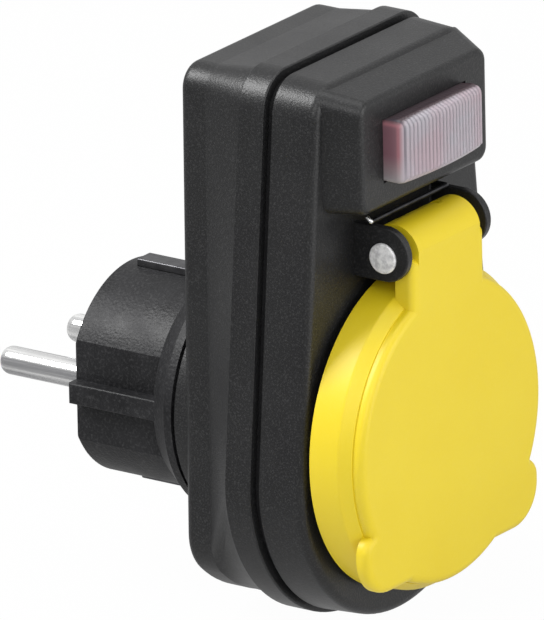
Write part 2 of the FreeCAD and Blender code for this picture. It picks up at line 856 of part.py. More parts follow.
# The spring's wire leaves its coil below the pin, lies in a channel in the face, climbs beside the right
# ear, and crosses over both ears under the switch block
wire = s.spring_wire / 2
leg_x = spring_half - s.spring_wire
leg_z = -s.spring_radius + hinge_height
riser_x = s.ear_inner - s.wire_clearance - wire
run_depth = front_face + s.run_rise
run_z = hinge_height + s.run_lift
run_end = -ear_outer - s.run_overhang


def wireChannel():
    room = wire + s.wire_clearance
    depth = (front_face - room * 2, front_face + s.overshoot)
    across = box("channel_across", (leg_x - room, riser_x + wire), depth, (leg_z - room, leg_z + room))
    upright = box("channel_upright", (riser_x - room, riser_x + wire), depth, (leg_z - room, run_z + room))
    return join("wire_channel", across, upright)


def frontShell():
    soft = rounded("front_soft", frontForm("front_outer", nothing, front_face), s.face_edge,
                   atDepth(front_face))
    block = blockForm("block_outer", nothing, (front_face - s.wall / 2, block_front), nothing)
    eased = rounded("block_eased", block, s.block_edge, atDepth(block_front))
    ears = [ear(word, sign) for word, sign in sides]
    room = frontForm("front_room", s.wall, face_inside)
    space = blockForm("block_room", s.block_wall, (face_inside - s.wall, block_inside), s.block_wall)
    window = box("block_window", (-boot_half - s.boot_fit, boot_half + s.boot_fit),
                 (block_inside - s.overshoot, block_front + s.overshoot),
                 (boot_bottom - s.boot_fit, boot_top + s.boot_fit))
    mouth = rod("collar_hole", collar_radius + s.collar_clearance,
                (face_inside - s.overshoot, front_face + s.overshoot))
    shell = cut("front_hollow", join("front_blank", soft, eased, *ears), room, space, window, mouth)
    posts = []
    holes = []
    for index, (x, z) in enumerate(screw_places):
        posts.append(rod("front_post_%d" % index, s.screw_boss_radius, (front_boss_end, face_inside), x, z))
        holes.append(rod("front_thread_%d" % index, s.screw_radius,
                         (front_boss_end - s.overshoot, front_boss_end + s.screw_bite), x, z))
    pinHole = axle("ear_bore", s.hinge_pin_radius,
                   (-ear_outer - s.overshoot, ear_outer + s.overshoot), hinge_depth, hinge_height)
    return cut("front", join("front_posted", shell, *posts), *holes, pinHole, wireChannel())


node("front_shell", frontShell())


# Hinge pin: a plain shaft with a round head at the left ear and a peened end at the right one
node("hinge_pin", join(
    "hinge_pin_solid",
    axle("hinge_shaft", s.hinge_pin_radius, (-ear_outer, ear_outer), hinge_depth, hinge_height),
    axle("hinge_head", s.hinge_head_radius, (-ear_outer - s.hinge_head_depth, -ear_outer),
         hinge_depth, hinge_height),
    axle("hinge_tail", s.hinge_tail_radius, (ear_outer, ear_outer + s.hinge_head_depth),
         hinge_depth, hinge_height)))


# Lid: skirt, sloped ring, plate, raised panel with two finger lobes, neck and knuckles

def uprightAt(x, z):
    # chooses the edge that runs along the depth at this X and Z
    across, upward = inPlane("X", x), inPlane("Z", z)
    return lambda edge: across(edge) and upward(edge)


def lid():
    skirt = taper("lid_skirt_solid", (lid_rim_radius, lid_crease_radius), (lid_back, lid_crease))
    slope = taper("lid_slope_solid", (lid_crease_radius, lid_slope_radius), (lid_crease, lid_plate_front))
    dish = rounded("lid_dish", join("lid_dish_sharp", skirt, slope), s.lid_crease_edge, atDepth(lid_crease))
    panel = rod("lid_panel", lid_panel_radius, (lid_crease, panel_front))
    lobes = []
    for word, sign in sides:
        reach = (s.wall, lobe_reach) if sign > 0 else (-lobe_reach, -s.wall)
        plate = box("lobe_" + word, reach, (panel_front - s.lobe_depth, panel_front),
                    (-lobe_bottom, -s.lobe_top))
        cornerX = sign * number(lobe_reach)
        low = rounded("lobe_low_" + word, plate, s.lobe_corner, uprightAt(cornerX, -number(lobe_bottom)))
        lobes.append(rounded("lobe_high_" + word, low, s.lobe_shoulder,
                             uprightAt(cornerX, -number(s.lobe_top))))
    neck = box("lid_neck", (-neck_half, neck_half), (lid_inside, panel_front),
               (lid_panel_radius / 2, hinge_height - s.neck_step))
    barrel = axle("lid_barrel", knuckle_radius, (-knuckle_half, knuckle_half), hinge_depth, hinge_height)
    front = box("knuckle_front", (-neck_half - s.overshoot, neck_half + s.overshoot),
                (panel_front, hinge_depth + knuckle_radius + s.overshoot),
                (hinge_height - knuckle_radius - s.overshoot, hinge_height + knuckle_radius + s.overshoot))
    knuckle = cut("lid_knuckle", barrel, front)
    blank = join("lid_blank", dish, panel, neck, knuckle, *lobes)
    rim, shoulder = atDepth(panel_front), number(hinge_height - s.neck_step)
    soft = rounded("lid_soft", blank, s.lid_edge,
                   lambda edge: rim(edge) and edge.BoundBox.ZMax < shoulder + tolerance)
    room = rod("lid_room", lid_rim_radius - s.lid_wall, (lid_back - s.overshoot, lid_inside))
    half = spring_room_half
    springRoom = axle("spring_room", s.spring_room_radius, (-half, half), hinge_depth, hinge_height)
    springMouth = box("spring_mouth", (-half, half),
                      (hinge_depth - knuckle_radius - s.overshoot, hinge_depth),
                      (hinge_height - knuckle_radius - s.overshoot, hinge_height + s.spring_room_radius))
    legSlot = box("leg_slot", (leg_x - s.spring_wire, leg_x + s.spring_wire),
                  (hinge_depth - knuckle_radius - s.overshoot, hinge_depth),
                  (hinge_height, hinge_height + knuckle_radius + s.overshoot))
    bore = axle("lid_bore", s.hinge_pin_radius + s.running_clearance,
                (-neck_half - s.overshoot, neck_half + s.overshoot), hinge_depth, hinge_height)
    return cut("lid_solid", soft, room, springRoom, springMouth, legSlot, bore)


node("lid", lid())

seal_outer = collar_radius - s.lid_seal_inset
node("lid_seal", cut("lid_seal_ring",
                     rod("lid_seal_disc", seal_outer, (collar_front + s.lid_seal_gap, lid_inside)),
                     rod("lid_seal_hole", seal_outer - s.lid_seal_width,
                         (collar_front - s.overshoot, lid_inside + s.overshoot))))


# Torsion spring round the pin, with its wire to the front shell

def ball(name, x, depth, z):
    # the round bend of a wire
    thing = doc.addObject("Part::Sphere", name)
    bind(thing, {"Radius": wire, "Placement.Base.x": x, "Placement.Base.y": -depth, "Placement.Base.z": z})
    return thing


def lidSpring():
    coil = axle("spring_coil", s.spring_radius + wire, (-spring_half, spring_half),
                hinge_depth, hinge_height)
    hole = axle("spring_hole", s.spring_radius - wire,
                (-spring_half - s.overshoot, spring_half + s.overshoot), hinge_depth, hinge_height)
    sunk = front_face - wire
    pieces = [
        rod("spring_leg", wire, (sunk, hinge_depth - wire), leg_x, leg_z),
        axle("spring_foot", wire, (leg_x, riser_x), sunk, leg_z),
        post("spring_riser", wire, riser_x, sunk, (leg_z, run_z)),
        rod("spring_reach", wire, (sunk, run_depth), riser_x, run_z),
        axle("spring_run", wire, (run_end, riser_x), run_depth, run_z),
        post("spring_hook", wire, run_end, run_depth, (run_z, run_z + s.run_hook)),
        ball("spring_bend_leg", leg_x, sunk, leg_z),
        ball("spring_bend_foot", riser_x, sunk, leg_z),
        ball("spring_bend_riser", riser_x, sunk, run_z),
        ball("spring_bend_reach", riser_x, run_depth, run_z),
        ball("spring_bend_run", run_end, run_depth, run_z),
    ]
    return join("lid_spring_solid", cut("spring_coiled", coil, hole), *pieces)


node("lid_spring", lidSpring())


# Socket insert: collar, cup, floor with pin holes, side guides and slots for the earth clips

def earthClip(word, sign):
    half = s.clip_width / 2
    reach = (clip_height, clip_height + s.clip_thickness)
    reach = reach if sign > 0 else (-reach[1], -reach[0])
    return box("clip_" + word, (-half, half),
               (floor_back - s.earth_strap_gap, floor_front + s.clip_length), reach)


def socketInsert():
    collar = rod("insert_collar", collar_radius, (face_inside, collar_front))
    flange = rod("insert_flange", insert_flange_radius, (face_inside - s.insert_flange_depth, face_inside))
    cup = rod("insert_cup", insert_cup_radius, (floor_back, face_inside))
    blank = join("insert_blank", collar, flange, cup)
    recess = rod("insert_recess", recess_radius, (floor_front, collar_front + s.overshoot))
    through = (floor_back - s.overshoot, floor_front + s.overshoot)
    holes = [rod("pin_hole_" + word, s.pin_hole_radius, through, sign * pin_x) for word, sign in sides]
    opened = cut("insert_open", blank, recess, *holes)
    guides = []
    for word, sign in sides:
        far = recess_radius + s.bite
        reach = (guide_reach, far) if sign > 0 else (-far, -guide_reach)
        guide = box("guide_" + word, reach, (floor_front - s.bite, collar_front),
                    (-s.guide_height / 2, s.guide_height / 2))
        near, far = guide_reach - s.overshoot, recess_radius - s.seat_gap
        reach = (near, far) if sign > 0 else (-far, -near)
        slot = box("guide_slot_" + word, reach, (floor_front, collar_front + s.overshoot),
                   (-s.guide_slot / 2, s.guide_slot / 2))
        guides.append(cut("guide_cut_" + word, guide, slot))
    guided = join("insert_guided", opened, *guides)
    cuts = []
    half = s.clip_width / 2 + s.clip_slot_clearance
    for word, sign in (("top", 1), ("bottom", -1)):
        reach = (clip_height - s.clip_slot_clearance, clip_height + s.clip_thickness + s.clip_slot_clearance)
        reach = reach if sign > 0 else (-reach[1], -reach[0])
        cuts.append(box("clip_slot_" + word, (-half, half), through, reach))
    for index, (x, z) in enumerate(screw_places[2:]):
        cuts.append(rod("insert_notch_%d" % index, s.screw_boss_radius + s.collar_clearance,
                        (face_inside - s.insert_flange_depth - s.overshoot, face_inside), x, z))
    return cut("insert_solid", guided, *cuts)


node("socket_insert", socketInsert())
node("socket_earth_clips", group("earth_clips", earthClip("top", 1), earthClip("bottom", -1)))


# Earth strap: a bar across the back of the clips and two legs to the plug's earth contacts

def earthStrap():
    front = floor_back - s.earth_strap_gap
    bar = (front - s.strap_thickness, front)
    half = s.clip_width / 2
    top = clip_height + s.clip_thickness
    pieces = [box("earth_bar", (-half, half), bar, (-top, top))]
    legHalf = s.earth_strip_width / 2
    legBack = earth_leg_depth + s.earth_leg_thickness
    for word, sign in (("top", 1), ("bottom", -1)):
        reach = (earth_leg_inner, earth_leg_inner + s.strap_thickness)
        reach = reach if sign > 0 else (-reach[1], -reach[0])
        pieces.append(box("earth_riser_" + word, (-legHalf, legHalf), (legBack, bar[1]), reach))
    return join("earth_strap_solid", *pieces)


node("earth_strap", earthStrap())


# Contact sleeves behind the pin holes, with a lug on top for their strap
sleeve_front = floor_back - s.sleeve_gap
sleeve_back = sleeve_front - s.sleeve_length


def sleeve(name, x):
    tube = rod(name + "_tube", sleeve_outer, (sleeve_back, sleeve_front), x)
    half = s.strap_width / 2
    lug = box(name + "_lug", (x - half, x + half), (sleeve_back, sleeve_front), (nothing, sleeve_lug_height))
    bore = rod(name + "_bore", s.sleeve_inner, (sleeve_back - s.overshoot, sleeve_front + s.overshoot), x)
    return cut(name, join(name + "_blank", tube, lug), bore)


node("line_contact", sleeve("sleeve_left", -pin_x))
node("neutral_contact", sleeve("sleeve_right", pin_x))


# Straps from the pins
head_back = s.pin_shank + s.pin_head_depth
strap_low = -s.pin_head_radius


def pinStrap(name, x, run_end):
    half = s.strap_width / 2
    foot = box(name + "_foot", (x - half, x + half), (head_back, head_back + s.strap_thickness),
               (strap_low, strap_rise + s.strap_thickness))
    run = box(name + "_run", (x - half, x + half), (head_back, run_end),
              (strap_rise, strap_rise + s.strap_thickness))
    return foot, run


def neutralLink():
    half = s.strap_width / 2
    foot, run = pinStrap("neutral_link", pin_x, lead_in_depth)
    drop = box("neutral_drop", (pin_x - half, pin_x + half), (lead_in_depth - s.strap_thickness, lead_in_depth),
               (sleeve_lug_height, strap_rise + s.strap_thickness))
    return join("neutral_link_solid", foot, run, drop)


node("neutral_link", neutralLink())


def liveLeadIn():
    half = s.strap_width / 2
    depth = (lead_in_depth, lead_in_depth + s.strap_thickness)
    foot, run = pinStrap("lead_in", -pin_x, depth[1])
    rise = box("lead_in_rise", (-pin_x - half, -pin_x + half), depth, (strap_rise, blade_low + s.strap_width))
    across = box("lead_in_across", (-pin_x - half, s.terminal_half), depth,
                 (blade_low, blade_low + s.strap_width))
    return join("lead_in_solid", foot, run, rise, across)


node("live_lead_in", liveLeadIn())


def liveLeadOut():
    half = s.strap_width / 2
    depth = (lead_out_depth, lead_out_depth + s.strap_thickness)
    rise = box("lead_out_rise", (-pin_x - half, -pin_x + half), depth,
               (sleeve_lug_height, blade_low + s.strap_width))
    across = box("lead_out_across", (-pin_x - half, -s.fixed_contact_x + s.terminal_half), depth,
                 (blade_low, blade_low + s.strap_width))
    return join("lead_out_solid", rise, across)


node("live_lead_out", liveLeadOut())


# Soft cap: a domed box with upright ribs on its front and a flange behind the window

def bootProfile(name, half, front, dome, back, z):
    # a plate whose front bulges in X, as the common part of a box and a wide upright cylinder
    radius = (half * half + dome * dome) / (2 * dome)
    block = box(name + "_block", (-half, half), (back, front), z)
    drum = post(name + "_drum", radius, nothing, front - radius, z)
    result = doc.addObject("Part::Common", name)
    result.Base = block
    result.Tool = drum
    return result, radius


def switchBoot():
    front = block_front + s.boot_rise
    flangeBack = block_inside - s.boot_flange_depth
    cap, radius = bootProfile("boot_cap", boot_half, front, s.boot_dome, flangeBack,
                              (boot_bottom, boot_top))
    tip = -number(block_front)
    soft = rounded("boot_soft", cap, s.boot_edge, lambda e: e.BoundBox.YMax < tip - tolerance)
    ribs = []
    count = int(number(s.rib_count))
    for index in range(count):
        x = s.rib_pitch * (index - (count - 1) / 2)
        sag = radius - root(radius * radius - x * x)
        ribs.append(post("boot_rib_%d" % index, s.rib_radius, x, front - sag - s.rib_radius / 2,
                         (boot_bottom + s.boot_edge, boot_top - s.boot_edge)))
    flange = box("boot_flange_plate", (-boot_half - s.boot_flange, boot_half + s.boot_flange),
                 (flangeBack, block_inside), (boot_bottom - s.boot_flange, boot_top + s.boot_flange))
    room, inner = bootProfile("boot_room", boot_half - s.boot_wall, front - s.boot_wall, s.boot_dome,
                              flangeBack - s.overshoot, (boot_bottom + s.boot_wall, boot_top - s.boot_wall))
    return cut("boot", join("boot_blank", soft, flange, *ribs), room)


node("switch_boot", switchBoot())

# Frame that clamps the cap's flange, between the flange and the switch housing
node("boot_frame", cut(
    "boot_frame_solid",
    box("frame_plate", (-boot_half - s.boot_flange, boot_half + s.boot_flange),
        (housing_front, housing_front + s.frame_depth),
        (boot_bottom - s.boot_flange, boot_top + s.boot_flange)),
    box("frame_opening", (-boot_half + s.boot_wall, boot_half - s.boot_wall),
        (housing_front - s.overshoot, housing_front + s.frame_depth + s.overshoot),
        (boot_bottom + s.boot_wall, boot_top - s.boot_wall))))


# Switch housing: an open box with pivot holes in its long walls and slots for the two terminals
housing_low = boot_bottom - s.boot_flange
housing_high = boot_top + s.boot_flange


def switchHousing():
    outer = box("housing_block", (-housing_half, housing_half), (housing_back, housing_front),
                (housing_low, housing_high))
    inner = housing_half - s.housing_wall
    room = box("housing_room", (-inner, inner),
               (housing_back + s.housing_floor, housing_front + s.overshoot),
               (housing_low + s.housing_wall, housing_high - s.housing_wall))
    pivot = post("housing_pivot", s.rocker_pivot_radius + s.running_clearance, nothing, rocker_pivot_depth,
                 (housing_low - s.overshoot, housing_high + s.overshoot))
    tools = [room, pivot]
    for name, x in (("pivot", nothing), ("fixed", -s.fixed_contact_x)):
        tools.append(box("terminal_slot_" + name, (x - s.terminal_half, x + s.terminal_half),
                         (housing_back - s.overshoot, housing_back + s.housing_floor + s.overshoot),
                         (blade_low, blade_high)))
    return cut("housing_solid", outer, *tools)


node("switch_housing", switchHousing())

# Terminals
terminal_tip = blade_pivot_depth - s.blade_thickness / 2 - s.blade_gap
node("pivot_terminal", box("pivot_post", (-s.terminal_half, s.terminal_half),
                           (lead_in_depth + s.strap_thickness, terminal_tip), (blade_low, blade_high)))

# The fixed contact's face stays just clear of the closed blade
closed_drop = (s.fixed_contact_x + s.fixed_contact_radius) * sine(s.blade_tilt / 2)
rivet_tip = terminal_tip - closed_drop - s.rivet_height
node("fixed_contact", join(
    "fixed_contact_solid",
    box("fixed_post", (-s.fixed_contact_x - s.terminal_half, -s.fixed_contact_x + s.terminal_half),
        (lead_out_depth + s.strap_thickness, rivet_tip - s.strap_thickness), (blade_low, blade_high)),
    rod("fixed_rivet", s.fixed_contact_radius, (rivet_tip - s.strap_thickness, rivet_tip),
        -s.fixed_contact_x, boot_middle)))


# Parts that tilt are drawn about their own pivot at the origin and then placed

def placed(thing, depth, angle):
    turned(thing, FreeCAD.Vector(0, 0, 1), 0)
    bind(thing, {"Placement.Base.y": -depth, "Placement.Rotation.Angle": angle})
    return thing


rocker_low = boot_middle - rocker_height / 2
rocker_high = boot_middle + rocker_height / 2
plunger_top = nothing
plunger_tip = blade_pivot_depth + s.blade_thickness / 2 + s.blade_gap - rocker_pivot_depth


def rocker():
    paddle = box("rocker_paddle", (-s.rocker_half, s.rocker_half),
                 (s.rocker_lift - s.rocker_thickness, s.rocker_lift), (rocker_low, rocker_high))
    boss = box("rocker_boss", (-s.rocker_boss_half, s.rocker_boss_half),
               (-s.rocker_pivot_radius - s.wall / 2, s.rocker_lift - s.rocker_thickness / 2),
               (rocker_low, rocker_high))
    stub = post("rocker_stub", s.rocker_pivot_radius, nothing, 0.0,
                (housing_low + s.seat_gap, housing_high - s.seat_gap))
    well = rod("rocker_well", s.plunger_spring_radius + s.running_clearance,
               (plunger_tip, s.rocker_lift - s.rocker_thickness), nothing, boot_middle)
    return cut("rocker_solid", join("rocker_blank", paddle, boss, stub), well)


node("rocker", placed(rocker(), rocker_pivot_depth, -s.rocker_tilt / 2))

node("plunger", placed(join(
    "plunger_solid",
    rod("plunger_rod", s.plunger_radius, (plunger_tip, plunger_top), nothing, boot_middle),
    rod("plunger_collar", s.plunger_spring_radius, (plunger_top - s.strap_thickness, plunger_top),
        0.0, boot_middle)), rocker_pivot_depth, -s.rocker_tilt / 2))
node("plunger_spring", placed(cut(
    "plunger_spring_solid",
    rod("plunger_coil", s.plunger_spring_radius,
        (plunger_top, s.rocker_lift - s.rocker_thickness), nothing, boot_middle),
    rod("plunger_coil_hole", s.plunger_radius,
        (plunger_top - s.overshoot, s.rocker_lift - s.rocker_thickness + s.overshoot), nothing, boot_middle)),
    rocker_pivot_depth, -s.rocker_tilt / 2))

blade_back = -s.blade_thickness / 2
node("contact_blade", placed(join(
    "blade_solid",
    box("blade_strip", (-s.blade_half, s.blade_half),
        (blade_back, s.blade_thickness / 2), (blade_low, blade_high)),
    post("blade_fulcrum", s.blade_pivot_radius, nothing, nothing, (blade_low, blade_high)),
    rod("blade_rivet", s.fixed_contact_radius - s.seat_gap, (blade_back - s.rivet_height, blade_back),
        -s.fixed_contact_x, boot_middle)), blade_pivot_depth, s.blade_tilt / 2))


# Indicator: glass lamp and its resistor, held between the long walls of the housing
wall_low = housing_low + s.housing_wall + s.seat_gap
wall_high = housing_high - s.housing_wall - s.seat_gap
node("neon_lamp", post("lamp_glass", s.lamp_radius, s.lamp_x, lamp_depth, (wall_low, wall_high)))
node("lamp_resistor", join(
    "resistor_solid",
    post("resistor_body", s.resistor_radius, s.lamp_x, resistor_depth,
         (boot_middle - s.resistor_length / 2, boot_middle + s.resistor_length / 2)),
    post("resistor_leads", s.lead_radius, s.lamp_x, resistor_depth, (wall_low, wall_high))))


# Check every object, then write one file for each node
doc.recompute()
for thing in doc.Objects:
    if "Invalid" in thing.State or "Error" in thing.State:
        raise RuntimeError("%s (%s): %s" % (thing.Name, thing.Label, thing.State))
os.makedirs("parts", exist_ok=True)
for label, thing in nodes.items():
    shape = thing.Shape
    if shape.isNull() or not shape.isValid():
        raise RuntimeError("%s has no valid shape" % label)
for label, thing in nodes.items():
    thing.Shape.exportStep("parts/%s.step" % label)
    extent = thing.Shape.BoundBox
    print("%-20s solids %d volume %9.1f  X %6.1f %6.1f  depth %6.1f %6.1f  Z %6.1f %6.1f" % (
        label, len(thing.Shape.Solids), thing.Shape.Volume, extent.XMin, extent.XMax,
        -extent.YMax, -extent.YMin, extent.ZMin, extent.ZMax))
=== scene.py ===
import math

import bmesh
import bpy
from mathutils import Matrix, Vector


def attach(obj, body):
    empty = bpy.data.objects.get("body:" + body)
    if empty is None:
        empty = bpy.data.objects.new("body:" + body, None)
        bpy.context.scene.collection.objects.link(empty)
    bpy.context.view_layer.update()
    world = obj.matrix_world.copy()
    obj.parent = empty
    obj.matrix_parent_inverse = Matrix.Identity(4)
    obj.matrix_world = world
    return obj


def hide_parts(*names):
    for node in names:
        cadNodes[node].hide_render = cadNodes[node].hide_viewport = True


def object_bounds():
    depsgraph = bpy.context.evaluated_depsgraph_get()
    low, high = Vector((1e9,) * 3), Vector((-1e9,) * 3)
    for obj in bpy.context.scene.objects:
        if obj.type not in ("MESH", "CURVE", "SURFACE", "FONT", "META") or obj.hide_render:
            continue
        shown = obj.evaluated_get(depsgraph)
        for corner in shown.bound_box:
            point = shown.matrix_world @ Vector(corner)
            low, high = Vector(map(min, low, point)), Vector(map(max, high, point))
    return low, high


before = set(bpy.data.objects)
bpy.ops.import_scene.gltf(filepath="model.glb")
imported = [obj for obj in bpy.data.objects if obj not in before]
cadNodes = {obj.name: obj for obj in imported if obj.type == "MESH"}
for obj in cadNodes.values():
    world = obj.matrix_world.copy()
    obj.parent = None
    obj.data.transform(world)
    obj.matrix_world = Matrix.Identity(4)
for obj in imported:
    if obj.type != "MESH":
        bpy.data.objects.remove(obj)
cadBox = [list(corner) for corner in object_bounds()]
scene = bpy.context.scene
print("frame loaded,", len(cadNodes), "nodes")


def at(x, depth, z):
    # a place in millimetres: across, forward of the plug's face, and up
    return Vector((x, -depth, z)) / 1000


# Camera, level with the photograph: nearly parallel, from the left of the front
photoView = {"azimuth": -54.656, "elevation": 19.117, "roll": 1.16, "distance": 4.2, "pixelsPerMm": 6.083,
             "longSide": 620, "sensor": 36.0, "aim": (0.029, 28.518, 14.338)}


def makeCamera(view):
    turn, lift, roll = (math.radians(view[word]) for word in ("azimuth", "elevation", "roll"))
    back = Vector((math.sin(turn) * math.cos(lift), -math.cos(turn) * math.cos(lift), math.sin(lift)))
    right = Vector((math.cos(turn), math.sin(turn), 0))
    up = back.cross(right)
    rolledRight = right * math.cos(roll) - up * math.sin(roll)
    rolledUp = up * math.cos(roll) + right * math.sin(roll)
    lens = bpy.data.cameras.new("photoLens")
    lens.sensor_width = view["sensor"]
    lens.lens = view["pixelsPerMm"] * view["distance"] * 1000 * view["sensor"] / view["longSide"]
    lens.clip_start = 0.1
    lens.clip_end = 20
    camera = bpy.data.objects.new("photoCamera", lens)
    scene.collection.objects.link(camera)
    place = Matrix((rolledRight, rolledUp, back)).transposed().to_4x4()
    place.translation = at(*view["aim"]) + back * view["distance"]
    camera.matrix_world = place
    scene.camera = camera


makeCamera(photoView)
print("camera ready")


# Shader helpers

def addNode(tree, kind, inputs=None, **settings):
    # an input is a plain value or another node's output
    node = tree.nodes.new(kind)
    for name, value in settings.items():
        setattr(node, name, value)
    for key, value in (inputs or {}).items():
        if isinstance(value, bpy.types.NodeSocket):
            tree.links.new(value, node.inputs[key])
        else:
            node.inputs[key].default_value = value
    return node


def newGroup(name, inputs, outputs):
    group = bpy.data.node_groups.new(name, "ShaderNodeTree")
    kinds = {"value": "NodeSocketFloat", "colour": "NodeSocketColor", "vector": "NodeSocketVector"}
    for label, (kind, default) in inputs.items():
        socket = group.interface.new_socket(label, in_out="INPUT", socket_type=kinds[kind])
        socket.default_value = default
    for label, kind in outputs.items():
        group.interface.new_socket(label, in_out="OUTPUT", socket_type=kinds[kind])
    entry = group.nodes.new("NodeGroupInput")
    leave = group.nodes.new("NodeGroupOutput")
    return group, entry.outputs, leave.inputs


def mixed(tree, share, first, second):
    # a blend of two colours
    node = addNode(tree, "ShaderNodeMix", {0: share, 6: first, 7: second}, data_type="RGBA")
    return node.outputs[2]


def stretched(tree, value, low, high, newLow, newHigh):
    # value moved from the span low..high to the span newLow..newHigh, and held at its ends
    node = addNode(tree, "ShaderNodeMapRange", {0: value, 1: low, 2: high, 3: newLow, 4: newHigh})
    return node.outputs[0]


def mouldedSkin():
    # spark-eroded grain, slow colour drift and fine pale specks, as on moulded plastic and rubber
    group, given, out = newGroup("mouldedSkin", {
        "Colour": ("colour", (0.5, 0.5, 0.5, 1)), "Drift Colour": ("colour", (0.4, 0.4, 0.4, 1)),
        "Drift Size": ("value", 60.0), "Grain Size": ("value", 3000.0), "Speck Amount": ("value", 0.1),
        "Roughness": ("value", 0.45), "Roughness Spread": ("value", 0.1)},
        {"Colour": "colour", "Roughness": "value", "Height": "value"})
    tree = group
    place = addNode(tree, "ShaderNodeTexCoord").outputs["Object"]
    drift = addNode(tree, "ShaderNodeTexNoise",
                    {"Vector": place, "Scale": given["Drift Size"], "Detail": 4.0, "Roughness": 0.55})
    grain = addNode(tree, "ShaderNodeTexNoise",
                    {"Vector": place, "Scale": given["Grain Size"], "Detail": 3.0, "Roughness": 0.6})
    pits = addNode(tree, "ShaderNodeTexVoronoi", {"Vector": place, "Scale": given["Grain Size"]})
    share = stretched(tree, drift.outputs["Fac"], 0.35, 0.65, 0.0, 1.0)
    drifted = mixed(tree, share, given["Colour"], given["Drift Colour"])
    speck = stretched(tree, grain.outputs["Fac"], 0.5, 0.8, 0.0, 1.0)
    speckShare = addNode(tree, "ShaderNodeMath", {0: speck, 1: given["Speck Amount"]}, operation="MULTIPLY")
    tree.links.new(mixed(tree, speckShare.outputs[0], drifted, (1, 1, 1, 1)), out["Colour"])
    swing = stretched(tree, drift.outputs["Fac"], 0.3, 0.7, -1.0, 1.0)
    rough = addNode(tree, "ShaderNodeMath", {0: swing, 1: given["Roughness Spread"],
                                             2: given["Roughness"]}, operation="MULTIPLY_ADD")
    tree.links.new(rough.outputs[0], out["Roughness"])
    height = addNode(tree, "ShaderNodeMath", {0: pits.outputs["Distance"], 1: 0.5,
                                              2: grain.outputs["Fac"]}, operation="MULTIPLY_ADD")
    tree.links.new(height.outputs[0], out["Height"])
    return group


def drawnMetal():
    # streaks left by drawing, rolling or turning, with duller patches; long dark patches also serve as
    # painted reflection
    group, given, out = newGroup("drawnMetal", {
        "Colour": ("colour", (0.7, 0.7, 0.7, 1)), "Dull And Reflected Colour": ("colour", (0.5, 0.5, 0.5, 1)),
        "Streak Stretch": ("vector", (1, 1, 1)), "Streak Size": ("value", 2500.0),
        "Patch Stretch": ("vector", (1, 1, 1)), "Patch Size": ("value", 300.0),
        "Roughness": ("value", 0.3), "Roughness Spread": ("value", 0.1)},
        {"Colour": "colour", "Roughness": "value", "Height": "value"})
    tree = group
    place = addNode(tree, "ShaderNodeTexCoord").outputs["Object"]
    drawn = addNode(tree, "ShaderNodeVectorMath", {0: place, 1: given["Streak Stretch"]},
                    operation="MULTIPLY")
    streak = addNode(tree, "ShaderNodeTexNoise",
                     {"Vector": drawn.outputs[0], "Scale": given["Streak Size"], "Detail": 3.0})
    pulled = addNode(tree, "ShaderNodeVectorMath", {0: place, 1: given["Patch Stretch"]},
                     operation="MULTIPLY")
    patch = addNode(tree, "ShaderNodeTexNoise", {"Vector": pulled.outputs[0], "Scale": given["Patch Size"],
                                                 "Detail": 5.0, "Roughness": 0.6})
    share = stretched(tree, patch.outputs["Fac"], 0.4, 0.62, 0.0, 1.0)
    tree.links.new(mixed(tree, share, given["Colour"], given["Dull And Reflected Colour"]), out["Colour"])
    swing = stretched(tree, streak.outputs["Fac"], 0.3, 0.7, -1.0, 1.0)
    rough = addNode(tree, "ShaderNodeMath", {0: swing, 1: given["Roughness Spread"],
                                             2: given["Roughness"]}, operation="MULTIPLY_ADD")
    tree.links.new(rough.outputs[0], out["Roughness"])
    tree.links.new(streak.outputs["Fac"], out["Height"])
    return group


